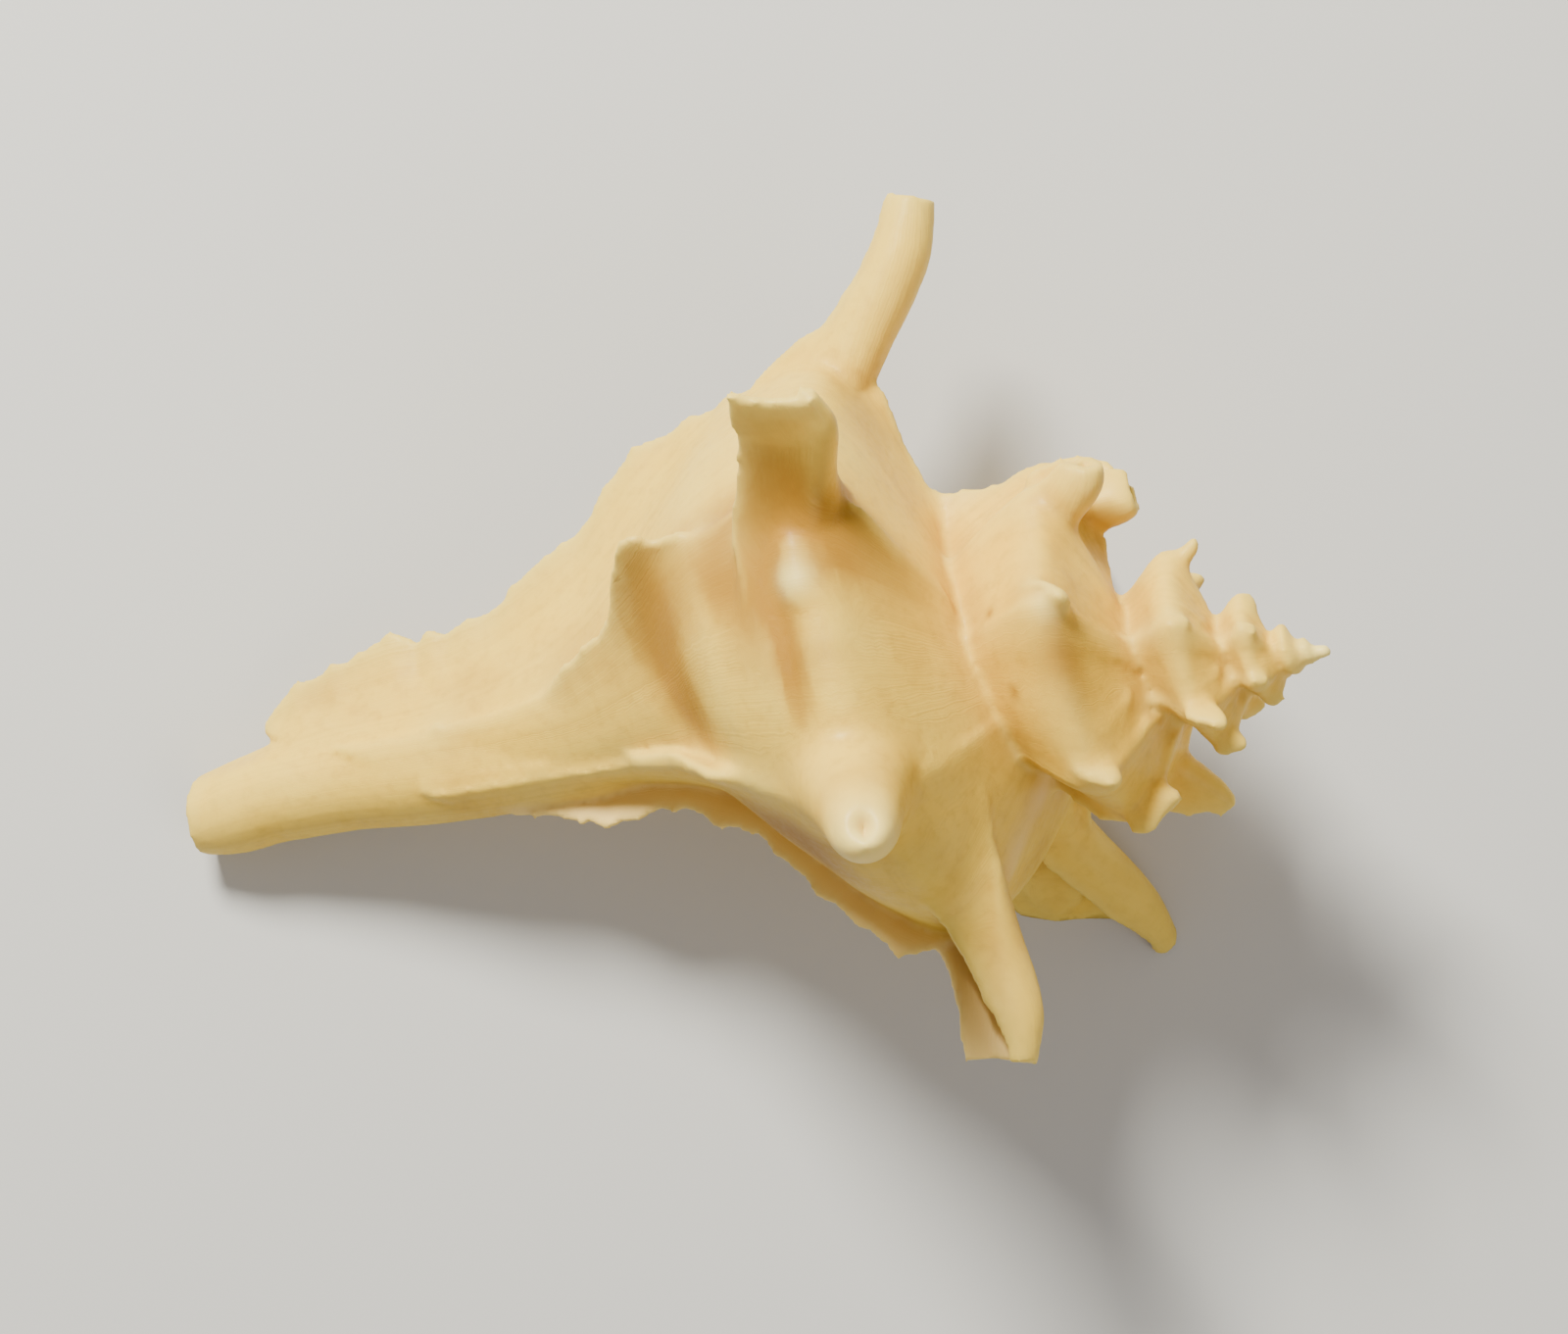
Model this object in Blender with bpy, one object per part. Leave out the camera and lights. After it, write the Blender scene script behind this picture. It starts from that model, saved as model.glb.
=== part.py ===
"""Shell of the sea snail Austrotrophon catalinensis, lying on its underside.

Lengths are in millimetres until the last step, which writes metres.  Along-axis distance is
measured from the apex, turning angle in degrees, and a turning angle of 0 is the outer lip.
The whole shell grows by one rule: each turn multiplies every length by WHORL_RATIO.
"""

import bmesh
import bpy
import numpy as np
from mathutils import Vector

for old in list(bpy.data.objects):
    bpy.data.objects.remove(old, do_unlink=True)

# Axis of coiling
WHORL_RATIO = 1.8
AXIS_TILT = 17.0
AXIS_SWING = 5.0
APEX = np.array([36.55, -1.89, 24.1])
LIP_ANGLE = 96.0

# Thickness of the shell wall, of a blade, and of its free edge as a share of the blade
WALL = 1.2
BLADE = 1.0
EDGE_SHARE = 0.7
CALLUS = 1.0

# Outline of one whorl at the lip: distance from the apex along the axis, and radius
PROFILE_S = [23.6, 24.6, 25.8, 27.6, 29.4, 30.9, 32.6, 35.0, 37.7, 40.2]
PROFILE_S += [42.4, 44.5, 46.6, 49.0, 52.0, 56.0, 63.0, 70.0, 77.0]
PROFILE_R = [6.0, 8.2, 11.0, 14.4, 17.4, 19.2, 19.7, 19.2, 18.0, 16.4]
PROFILE_R += [14.6, 12.6, 10.6, 8.6, 6.9, 5.4, 4.2, 3.6, 3.0]

# How much slimmer the lower half of the oldest whorls is
OLD_SLIM = 0.13

# How far the shoulder stands out at each blade, on the last whorl and on the spire
SWELL_S = [24.6, 27.0, 30.0, 33.0, 37.0, 44.0]
SWELL = [0.0, 0.5, 1.0, 0.9, 0.45, 0.0]
SWELL_BODY = 1.3
SWELL_SPIRE = 3.4
SAG = 2.6

# Canal: outer radius along the axis, its bend to the side, and the slit along it
CANAL_S = [46.0, 52.0, 57.0, 60.0, 65.0, 70.5, 74.0, 75.8, 77.0]
CANAL_R = [3.6, 3.7, 3.7, 3.6, 3.3, 3.1, 2.85, 2.3, 1.7]
CANAL_END = 76.3
BEND_S = [0.0, 38.0, 48.0, 60.0, 65.0, 70.5, 74.0, 76.5]
BEND = [0.0, 0.0, 1.8, 2.7, 2.95, 3.55, 4.35, 5.0]
SLIT_S = [47.0, 53.0, 58.0, 77.0]
SLIT_FROM = [92.0, 100.0, 108.0, 112.0]
SLIT_TO = [215.0, 175.0, 146.0, 143.0]

# Free edge of a blade at the lip: distance along the axis, and radius
EDGE_S = [24.4, 25.2, 26.4, 27.4, 30.0, 34.0, 37.0, 39.5, 42.2, 45.2, 46.9]
EDGE_S += [49.2, 52.5, 54.0, 56.3, 59.8, 61.0, 63.5, 65.7, 68.0, 70.0, 71.5]
EDGE_R = [11.0, 13.0, 15.5, 18.5, 20.0, 20.4, 20.0, 19.4, 18.8, 17.9, 16.1]
EDGE_R += [13.6, 12.0, 10.6, 9.4, 9.1, 9.3, 8.9, 8.0, 7.4, 6.6, 5.0]

# How far behind its edge a blade starts to rise from the whorl, at the lip
RISE_RUN = 6.0

# Spine at the lip: centre line, half width, and depth of its gutter
SPINE_S = [33.2, 32.0, 30.4, 29.0, 27.4, 26.3, 25.8, 25.3]
SPINE_R = [18.4, 20.0, 21.3, 23.0, 25.4, 27.5, 29.2, 31.2]
SPINE_WIDE = [5.0, 3.5, 2.4, 1.9, 1.75, 1.7, 1.6, 1.3]
SPINE_DEEP = [0.8, 1.5, 1.9, 1.9, 1.9, 1.8, 1.6, 1.3]
SPIRE_TAPER = 0.45

# Width of the fold in front of the gutter, from the base of the spine to its tip
FOLD_D = [0.0, 0.2, 0.45, 0.7, 0.88, 1.0]
FOLD_WIDE = [6.4, 7.0, 6.2, 4.9, 2.6, 2.2]

# Base of a spine on the whorl: its middle and half width along the profile, the share of the
# spine that it takes, and how far forward of the blade the fold comes down
SHOULDER_S = 31.5
SHOULDER_HALF = 5.5
SETTLE = 0.3
FRONT_RUN = 5.0

# Free edge of the gutter: how far its lip curls forward, and how far the skirt hangs back
GUTTER_LIP = 0.9
APRON_DROP = 0.35

# Where along the profile a blade may stand higher or lower than the one at the lip
LIFT_S = [26.0, 31.0, 37.0, 42.0, 45.2, 48.0, 55.0, 65.0]
PLAIN = [0.0, 0.0, 0.0, 0.0, 0.0, 0.0, 0.0, 0.0]
OLDER = [0.0, 0.0, -1.5, -3.0, -3.0, 0.0, 0.0, 0.0]

# Blades, youngest first, each with its turning angle, spine tip (distance along the axis, radius),
# reach along the profile, breadth of the spine, width of its skirt, breadth of its fold,
# depth at the tip, twist, and lift of the edge
VARICES = [
    (0, 25.1, 31.3, 71.5, 1.0, 0.0, 1.0, 1.0, 0.0, PLAIN),
    (-55, 30.8, 30.0, 71.0, 1.15, 2.0, 0.55, 0.45, 0.4, [1.0, 0.0, -1.5, -1.4, 0.8, -2.2, -3.2, -4.0]),
    (-116, 29.3, 30.8, 71.0, 1.3, 0.6, 0.4, 1.0, 0.5, [0.0, 0.0, -1.0, -2.0, -1.0, -2.0, -2.5, -3.0]),
    (-171, 27.2, 32.5, 71.0, 1.2, 2.6, 1.0, 1.0, 0.0, [0.0, 2.0, 3.0, 0.0, -2.0, -1.8, -1.4, -1.3]),
    (-234, 24.6, 40.4, 70.0, 1.0, 7.0, 1.0, 1.0, 0.0, [0.0, 12.0, 15.0, 6.0, 0.0, -2.0, -2.0, -2.0]),
    (-300, 33.5, 35.2, 46.0, 1.1, 1.5, 1.0, 1.0, 0.0, [0.0, 0.0, 1.0, 0.0, -2.0, -2.0, -2.0, -2.0]),
    (-358, 21.4, 19.8, 44.0, 1.0, 0.0, 1.0, 1.0, 0.0, [3.0, 4.2, 2.4, 3.4, 4.2, 0.0, 0.0, 0.0]),
    (-384, 25.4, 25.5, 44.0, 1.2, 1.0, 0.8, 1.0, 0.0, [0.0, 0.0, -1.2, -2.8, -3.0, 0.0, 0.0, 0.0]),
    (-432, 29.2, 25.0, 44.0, 0.9, 0.3, 0.6, 0.7, 0.5, OLDER),
    (-498, 28.6, 24.4, 44.0, 1.2, 1.5, 0.8, 0.8, 0.0, [0.0, 0.0, -3.0, -4.5, -5.0, 0.0, 0.0, 0.0]),
    (-541, 25.2, 21.2, 44.0, 1.2, 0.5, 1.0, 1.0, 0.0, [0.0, 2.5, 3.2, 0.0, -2.0, 0.0, 0.0, 0.0]),
    (-581, 21.9, 29.3, 44.0, 1.3, 1.5, 1.0, 1.0, 0.0, [0.0, 2.0, 2.0, 0.0, -2.0, 0.0, 0.0, 0.0]),
    (-635, 25.0, 26.0, 44.0, 1.1, 0.5, 1.0, 1.0, 0.0, OLDER),
    (-683, 27.5, 23.0, 44.0, 1.1, 0.5, 1.0, 1.0, 0.0, OLDER),
    (-728, 26.0, 25.5, 44.0, 0.7, 0.0, 0.6, 0.8, 0.0, [0.0, -3.0, -4.5, -4.0, -3.0, 0.0, 0.0, 0.0]),
    (-790, 29.0, 22.0, 44.0, 0.8, 0.0, 0.6, 0.6, 0.0, OLDER),
    (-851, 24.9, 28.7, 44.0, 1.1, 0.5, 0.8, 0.8, 0.0, OLDER),
    (-900, 26.0, 25.0, 44.0, 1.1, 0.0, 1.0, 1.0, 0.0, OLDER),
    (-956, 26.0, 24.0, 44.0, 1.1, 0.0, 1.0, 1.0, 0.0, OLDER),
    (-1018, 27.0, 22.0, 44.0, 1.1, 0.0, 1.0, 1.0, 0.0, OLDER),
    (-1091, 27.4, 19.8, 44.0, 1.0, 0.0, 1.0, 1.0, 0.0, OLDER),
    (-1146, 28.0, 23.0, 44.0, 1.0, 0.0, 1.0, 1.0, 0.0, OLDER),
    (-1206, 28.0, 23.0, 44.0, 1.0, 0.0, 1.0, 1.0, 0.0, OLDER),
    (-1266, 28.0, 22.0, 44.0, 1.0, 0.0, 1.0, 1.0, 0.0, OLDER),
    (-1330, 28.0, 22.0, 44.0, 1.0, 0.0, 1.0, 1.0, 0.0, OLDER),
]

# Pillar in the middle: distance along the axis, radius, and shift with the canal
PILLAR_S = [22.0, 36.0, 44.0, 52.0, 58.0, 62.0]
PILLAR_R = [4.0, 3.3, 2.85, 2.2, 1.5, 0.8]
PILLAR_SHIFT = [0.0, 0.0, 0.0, 1.0, 1.9, 2.4]
PILLAR_ANGLE = 205.0

# First whorls: a ball at the apex
BALL_LENGTH = 3.0
BALL_RADIUS = 1.35

# The last whorl is hollow from this turn on, and the first whorls start here
HOLLOW_FROM = -225.0
FIRST_TURN = -1760.0

# Grid on which the pieces grow together, number of triangles, and block that cuts the flats
VOXEL = 0.5
TRIANGLES = 9600
GROUND_SIZE = 0.2

# Look
CREAM = (0.80, 0.66, 0.41, 1.0)
ROUGHNESS = 0.42

tilt, swing = np.radians(AXIS_TILT), np.radians(AXIS_SWING)
AXIS = np.array([np.cos(tilt) * np.cos(swing), np.cos(tilt) * np.sin(swing), np.sin(tilt)])
FACE = np.array([0.0, 0.0, 1.0]) - AXIS * AXIS[2]
FACE /= np.linalg.norm(FACE)
SIDE = np.cross(FACE, AXIS)


def growth(turn):
    return WHORL_RATIO ** (np.asarray(turn, float) / 360.0)


def place(along, radius, angle):
    """Points at this distance along the axis, radius and angle about it, with the bend of the canal."""
    along, radius, angle = np.broadcast_arrays(along, radius, np.radians(angle))
    bend = np.interp(along, BEND_S, BEND)
    return (
        APEX
        - along[..., None] * AXIS
        + (radius * np.cos(angle))[..., None] * FACE
        + (radius * np.sin(angle) - bend)[..., None] * SIDE
    )


def smooth(x):
    x = np.clip(x, 0.0, 1.0)
    return x * x * (3 - 2 * x)


def curve(at, xs, ys):
    """A smooth line through the given points, read at new places."""
    xs, ys = np.asarray(xs, float), np.asarray(ys, float)
    slope = np.gradient(ys, xs)
    at = np.clip(at, xs[0], xs[-1])
    i = np.clip(np.searchsorted(xs, at) - 1, 0, len(xs) - 2)
    step = xs[i + 1] - xs[i]
    t = (at - xs[i]) / step
    return (
        (2 * t**3 - 3 * t**2 + 1) * ys[i]
        + (t**3 - 2 * t**2 + t) * step * slope[i]
        + (3 * t**2 - 2 * t**3) * ys[i + 1]
        + (t**3 - t**2) * step * slope[i + 1]
    )


def swell(share, turn):
    """How far the shoulder stands out, in a sagging curve from each blade to the next."""
    turns = np.array([row[0] for row in VARICES])[::-1]
    turn = np.asarray(turn, float)
    i = np.clip(np.searchsorted(turns, turn) - 1, 0, len(turns) - 2)
    t = np.clip((turn - turns[i]) / (turns[i + 1] - turns[i]), 0.0, 1.0)
    sag = (1 - t) ** SAG + t**SAG
    size = SWELL_BODY + (SWELL_SPIRE - SWELL_BODY) * smooth((-300.0 - turn) / 120.0)
    fade = smooth((turn - turns[0] + 200.0) / 200.0)
    return np.interp(share, SWELL_S, SWELL) * sag * size * fade


def whorl_radius(along, turn):
    """Outer radius of the whorl at this turn and distance along the axis, never thinner than the canal."""
    g = growth(turn)
    share = along / g
    slim = 1 - OLD_SLIM * smooth((share - 33.0) / 8.0) * smooth((-500.0 - np.asarray(turn)) / 300.0)
    grown = (curve(share, PROFILE_S, PROFILE_R) * slim + swell(share, turn)) * g
    canal = np.where(along > 46.0, curve(along, CANAL_S, CANAL_R), 0.0)
    return np.maximum(grown, canal)


def slab(mesh, grid, thick):
    """Adds a closed sheet of the given thickness about a grid of points."""
    along_rows = np.gradient(grid, axis=0)
    along_columns = np.gradient(grid, axis=1)
    normal = np.cross(along_rows, along_columns)
    normal /= np.maximum(np.linalg.norm(normal, axis=2, keepdims=True), 1e-9)
    half = np.broadcast_to(np.asarray(thick, float), grid.shape[:2])[..., None] * normal / 2
    sides = [grid + half, grid - half]
    rows, columns = grid.shape[:2]
    verts = [[mesh.verts.new(Vector(p)) for p in side.reshape(-1, 3)] for side in sides]
    top, bottom = verts

    def at(i, j):
        return i * columns + j

    for i in range(rows - 1):
        for j in range(columns - 1):
            a, b, c, d = at(i, j), at(i + 1, j), at(i + 1, j + 1), at(i, j + 1)
            mesh.faces.new((top[a], top[b], top[c], top[d]))
            mesh.faces.new((bottom[d], bottom[c], bottom[b], bottom[a]))
    rim = [at(0, j) for j in range(columns)]
    rim += [at(i, columns - 1) for i in range(1, rows)]
    rim += [at(rows - 1, j) for j in range(columns - 2, -1, -1)]
    rim += [at(i, 0) for i in range(rows - 2, 0, -1)]
    for a, b in zip(rim, rim[1:] + rim[:1]):
        mesh.faces.new((top[a], top[b], bottom[b], bottom[a]))


def lathe(mesh, rings):
    """Adds a closed body through rings of points, with a fan at each end."""
    count = rings.shape[1]
    verts = [[mesh.verts.new(Vector(p)) for p in ring] for ring in rings]
    for low, high in zip(verts, verts[1:]):
        for j in range(count):
            k = (j + 1) % count
            mesh.faces.new((low[j], low[k], high[k], high[j]))
    mesh.faces.new(verts[0][::-1])
    mesh.faces.new(verts[-1])


def add_core(mesh):
    """The older whorls, filled in, as a section swept round the axis."""
    turns = np.arange(FIRST_TURN, HOLLOW_FROM + 10.0, 8.0)
    s = np.linspace(PROFILE_S[0], PROFILE_S[-1], 60)
    rings = []
    for turn in turns:
        g = growth(turn)
        radius = whorl_radius(s * g, turn)
        angle = LIP_ANGLE + turn
        outer = place(s * g, radius, angle)
        back = place(np.linspace(77.0, 23.6, 8) * g, np.zeros(8), angle)
        rings.append(np.concatenate([outer, back]))
    lathe(mesh, np.array(rings))
    half = BALL_LENGTH / 2
    tilts = np.linspace(0, np.pi, 9)[1:-1]
    around = np.arange(0, 360, 30)
    rings = [place(half - half * np.cos(b), BALL_RADIUS * np.sin(b), around) for b in tilts]
    lathe(mesh, np.array(rings))


def add_wall(mesh):
    """The wall of the last whorl, open at the lip."""
    turns = np.arange(HOLLOW_FROM - 8.0, -RISE_RUN * 2.2, 4.0)
    s = np.linspace(PROFILE_S[0], PROFILE_S[-1], 64)
    turn, column = np.meshgrid(turns, s, indexing="ij")
    along = column * growth(turn)
    radius = whorl_radius(along, turn) - WALL / 2
    slab(mesh, place(along, radius, LIP_ANGLE + turn), WALL)


def add_canal(mesh):
    """The canal: a tube round the axis with a slit left open on the underside."""
    along, share = np.meshgrid(np.linspace(47.0, CANAL_END, 44), np.linspace(0, 1, 40), indexing="ij")
    first = np.interp(along, SLIT_S, SLIT_TO) - 360.0
    angle = first + (np.interp(along, SLIT_S, SLIT_FROM) - first) * share
    turn = np.clip(angle - LIP_ANGLE, -225.0, 0.0)
    radius = whorl_radius(along, turn)
    plain = curve(along, CANAL_S, CANAL_R)
    radius = plain + (radius - plain) * smooth((angle + 150.0) / 60.0)
    slab(mesh, place(along, radius - WALL / 2, angle), WALL)


def add_columella(mesh):
    """The pillar that the whorls wind round, running into the inner side of the canal."""
    along = np.linspace(PILLAR_S[0], PILLAR_S[-1], 30)
    radius = np.interp(along, PILLAR_S, PILLAR_R)
    shift = np.interp(along, PILLAR_S, PILLAR_SHIFT)
    around = np.radians(np.arange(0, 360, 24))
    lean = np.radians(PILLAR_ANGLE)
    rings = []
    for a, r, d in zip(along, radius, shift):
        x = d * np.cos(lean) + r * np.cos(around)
        y = d * np.sin(lean) + r * np.sin(around)
        rings.append(place(a, np.hypot(x, y), np.degrees(np.arctan2(y, x))))
    lathe(mesh, np.array(rings))


def add_callus(mesh):
    """The thin glaze of the inner lip, spread over the start of the last whorl."""
    angle, share = np.meshgrid(np.linspace(92.0, 178.0, 30), np.linspace(0, 1, 34), indexing="ij")
    turn = angle - LIP_ANGLE - 360.0
    along = 25.5 + (54.0 - 25.5) * share
    radius = np.maximum(whorl_radius(along, turn), np.interp(along, [25, 45, 54], [3.0, 2.9, 2.6]))
    slab(mesh, place(along, radius + 0.15, angle), CALLUS)


def add_blade(mesh, turn, reach, lift):
    """The flared edge of one growth stage, rising from the whorl to a free edge."""
    g = growth(turn)
    count = 70 if reach > 50 else 30
    base_s = np.linspace(PROFILE_S[1], min(reach + 1.0, 71.5), count)
    edge_r = curve(base_s, EDGE_S, EDGE_R) + np.interp(base_s, LIFT_S, lift)
    d = np.linspace(0, 1, 12)[:, None]
    run = (RISE_RUN * np.interp(base_s, [24, 32, 46, 60], [0.6, 1.0, 0.8, 0.35]) * g)[None, :]
    base_r = whorl_radius(base_s * g, turn)
    edge_r = np.maximum(edge_r * g, base_r + 0.2)
    start_turn = turn - np.degrees(run / np.maximum(base_r, 2.0))
    start_r = whorl_radius(base_s * growth(start_turn), start_turn)
    forward = 1 - (1 - d) ** 2
    here = start_turn + (turn - start_turn) * forward
    along = base_s[None, :] * (growth(start_turn) + (g - growth(start_turn)) * forward)
    radius = start_r + (base_r - start_r) * forward + (edge_r - base_r)[None, :] * d**2
    thick = min(BLADE, 0.75 + 0.3 * g) * (1 - (1 - EDGE_SHARE) * d**3)
    radius = radius - thick / 2 * (1 - forward)
    slab(mesh, place(along, radius, LIP_ANGLE + here), thick + 0 * radius)


def add_spine(mesh, turn, tip_s, tip_r, broad, skirt, fold_share, tip_share, twist):
    """One hollow spine: a gutter whose side towards the apex folds forward over it.

    Across the spine run the sheet at the back with its skirt, the bend on the apex side, and
    the fold in front.  At the lip the gutter stays open.
    """
    g = growth(turn)
    folded = turn < -1
    d = np.linspace(0, 1, 36)
    steps = np.linspace(0, 1, len(SPINE_S))
    point = 1 - SPIRE_TAPER * smooth(d) * smooth((-400.0 - turn) / 30.0)
    wide = curve(d, steps, SPINE_WIDE) * (1 + (broad - 1) * smooth(d / 0.3)) * point
    deep = curve(d, steps, SPINE_DEEP) * (1 + (tip_share - 1) * smooth(d)) * point
    left = wide + skirt * smooth(d / 0.35)
    spread = broad / 1.2 * (1 + (fold_share - 1) * smooth(d / 0.5))
    spread *= 1.0 + 0.3 * smooth((-300.0 - turn) / 100.0)
    fold = np.interp(d, FOLD_D, FOLD_WIDE) * spread

    # Centre line, and the direction across it
    stretch = (tip_r - SPINE_R[0]) / (SPINE_R[-1] - SPINE_R[0])
    c_s = curve(d, steps, SPINE_S) + (tip_s - SPINE_S[-1]) * d
    c_r = SPINE_R[0] + (curve(d, steps, SPINE_R) - SPINE_R[0]) * stretch
    t_s, t_r = np.gradient(c_s), np.gradient(c_r)
    length = np.hypot(t_s, t_r)
    side_s, side_r = (-t_r / length)[:, None], (t_s / length)[:, None]

    # Section: distance to the side and distance forward
    w, h, f, l = wide[:, None], deep[:, None], fold[:, None], left[:, None]
    back = np.linspace(0, 1, 15)[:-1]
    bend = np.linspace(0, np.pi if folded else 0.62 * np.pi, 9)
    front = np.linspace(0, 1, 12)[1:]
    lateral = [-l + (w - h + l) * back, w - h + h * np.sin(bend)]
    forward = [h * GUTTER_LIP * (1 - back) ** 2, h - h * np.cos(bend)]
    if folded:
        lateral.append(w - h - (f - h) * front)
        forward.append(2 * h + 0.25 * h * front**2)
    lateral, forward = np.hstack(lateral), np.hstack(forward)
    forward = forward - twist * smooth(d / 0.6)[:, None] * lateral - 0.9 * h
    count = lateral.shape[1]
    hang = APRON_DROP * (l - w) * np.clip(np.linspace(1.6, -1.6, count), 0, 1)
    s = c_s[:, None] + side_s * lateral
    r = c_r[:, None] + side_r * lateral - hang
    thick = min(BLADE, 0.75 + 0.3 * g) * np.interp(d, [0, 0.8, 1], [1.0, 0.95, EDGE_SHARE])

    # Base line on the whorl: up the older side, over the apex side and down in front
    base = [SHOULDER_S + SHOULDER_HALF * (1 - back), SHOULDER_S - SHOULDER_HALF * bend / bend[-1]]
    turning = [0 * back, np.linspace(0, 1, len(bend))]
    if folded:
        base.append(SHOULDER_S - SHOULDER_HALF + 1.1 * SHOULDER_HALF * front)
        turning.append(1 + 0 * front)
    base, turning = np.hstack(base), np.hstack(turning)
    run = -RISE_RUN + (RISE_RUN + (FRONT_RUN if folded else 0.0)) * smooth(turning)
    foot = turn + np.degrees(run / PROFILE_R[6])
    base_r = whorl_radius(base * growth(foot), foot) / growth(foot) - thick[:, None] * 0.6 / g

    settle = smooth(d / SETTLE)[:, None]
    away = (1 - np.clip(d / SETTLE, 0, 1)[:, None]) ** 2
    s = base + (s - base) * settle
    r = base_r + (r - base_r) * settle
    here = turn + np.degrees((forward * settle + run * away) / np.maximum(r, 10.0))
    size = growth(here)
    slab(mesh, place(s * size, r * size, LIP_ANGLE + here), np.repeat(thick[:, None], count, axis=1))


body = bmesh.new()
add_core(body)
add_wall(body)
add_canal(body)
add_columella(body)
add_callus(body)
for turn_at, tip_along, tip_radius, reach_to, *shape, lifts in VARICES:
    add_blade(body, turn_at, reach_to, lifts)
    add_spine(body, turn_at, tip_along, tip_radius, *shape)
bmesh.ops.recalc_face_normals(body, faces=body.faces)
for face in body.faces:
    face.smooth = True
bmesh.ops.scale(body, vec=(0.001, 0.001, 0.001), verts=body.verts)
data = bpy.data.meshes.new("shell")
body.to_mesh(data)
body.free()
shell = bpy.data.objects.new("shell", data)
bpy.context.scene.collection.objects.link(shell)

look = bpy.data.materials.new("shell")
look.use_nodes = True
principled = look.node_tree.nodes["Principled BSDF"]
principled.inputs["Base Color"].default_value = CREAM
principled.inputs["Roughness"].default_value = ROUGHNESS
principled.inputs["Metallic"].default_value = 0.0
data.materials.append(look)

ground = bmesh.new()
bmesh.ops.create_cube(ground, size=GROUND_SIZE)
bmesh.ops.translate(ground, vec=(0.0, 0.0, -GROUND_SIZE / 2), verts=ground.verts)
ground_data = bpy.data.meshes.new("ground")
ground.to_mesh(ground_data)
ground.free()
cutter = bpy.data.objects.new("ground", ground_data)
bpy.context.scene.collection.objects.link(cutter)
cutter.hide_render = True
cutter.display_type = "WIRE"

fuse = shell.modifiers.new("Fuse", "REMESH")
fuse.mode = "VOXEL"
fuse.voxel_size = VOXEL / 1000
fuse.use_smooth_shade = True
soften = shell.modifiers.new("Soften", "SMOOTH")
soften.factor = 0.5
soften.iterations = 3
fused = shell.evaluated_get(bpy.context.evaluated_depsgraph_get()).to_mesh()
fused.calc_loop_triangles()
thin = shell.modifiers.new("Thin out", "DECIMATE")
thin.ratio = TRIANGLES / len(fused.loop_triangles)
rest = shell.modifiers.new("Rest flat", "BOOLEAN")
rest.operation = "DIFFERENCE"
rest.object = cutter
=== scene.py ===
# %% [markdown]
# # A spiny sea snail shell, dressed for a photograph
#
# The imported part gives a plain closed solid of the shell. This lesson grows the same shell again
# with finer sheets, thinner edges and its growth lines, and gives it a cream, satin, slightly
# translucent finish. We load the imported solid first, and hide it once the new shell takes its
# place.

import bmesh
import bpy
import numpy as np
from mathutils import Matrix, Vector
from mathutils.bvhtree import BVHTree
from mathutils.kdtree import KDTree


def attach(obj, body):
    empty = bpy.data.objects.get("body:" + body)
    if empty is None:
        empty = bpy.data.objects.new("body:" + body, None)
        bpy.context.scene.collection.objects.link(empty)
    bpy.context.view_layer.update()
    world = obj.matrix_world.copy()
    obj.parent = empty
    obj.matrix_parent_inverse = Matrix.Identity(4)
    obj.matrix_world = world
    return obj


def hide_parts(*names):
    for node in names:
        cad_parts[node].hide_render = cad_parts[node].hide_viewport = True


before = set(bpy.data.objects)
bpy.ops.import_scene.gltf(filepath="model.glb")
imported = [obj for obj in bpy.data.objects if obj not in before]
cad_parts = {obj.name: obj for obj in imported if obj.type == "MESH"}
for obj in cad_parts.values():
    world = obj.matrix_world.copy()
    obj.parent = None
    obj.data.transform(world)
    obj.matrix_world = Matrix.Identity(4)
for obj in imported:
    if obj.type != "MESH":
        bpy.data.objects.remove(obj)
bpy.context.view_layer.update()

# %% [markdown]
# ## The rule of growth
#
# A snail lays its shell down at the lip. Each turn multiplies every length by the same number,
# so one outline, shrunk with the turning angle, gives the whole coil. Lengths here are in
# millimetres: distance along the axis from the apex, and radius from the axis. A turning angle
# of 0 is the lip, and older shell has a negative angle.

# %% Axis of the coil and growth with the turning angle
MM = 0.001
WHORL_RATIO = 1.8  # one turn makes everything this much bigger
LIP_ANGLE = 96.0  # where the lip stands round the axis, in degrees from the top
APEX = np.array([36.55, -1.89, 24.1])
TILT, SWING = np.radians(17.0), np.radians(5.0)  # the axis points up and sideways a little
AXIS = np.array([np.cos(TILT) * np.cos(SWING), np.cos(TILT) * np.sin(SWING), np.sin(TILT)])
FACE = np.array([0.0, 0.0, 1.0]) - AXIS * AXIS[2]
FACE /= np.linalg.norm(FACE)
SIDE = np.cross(FACE, AXIS)
# The canal bends sideways: distance along the axis, and how far it has moved there
BEND_S = [0, 38, 48, 60, 65, 70.5, 74, 76.5]
BEND = [0, 0, 1.8, 2.7, 2.95, 3.55, 4.35, 5]


def growth(turn):
    return WHORL_RATIO ** (np.asarray(turn, float) / 360.0)


def place(along, radius, angle):
    """Points at this distance along the axis, radius and angle, with the bend of the canal."""
    along, radius, angle = np.broadcast_arrays(along, radius, np.radians(angle))
    bend = np.interp(along, BEND_S, BEND)
    return (
        APEX
        - along[..., None] * AXIS
        + (radius * np.cos(angle))[..., None] * FACE
        + (radius * np.sin(angle) - bend)[..., None] * SIDE
    )


print("one turn back everything is", round(float(growth(-360)), 3), "of its size at the lip")

# %% [markdown]
# ## Three small tools
#
# `smooth` eases from 0 to 1, `curve` runs a smooth line through measured points, and `ripple` is
# a wobble made of sine waves. A random generator would work too, but waves give the same result
# in every run and need no seed.

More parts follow.
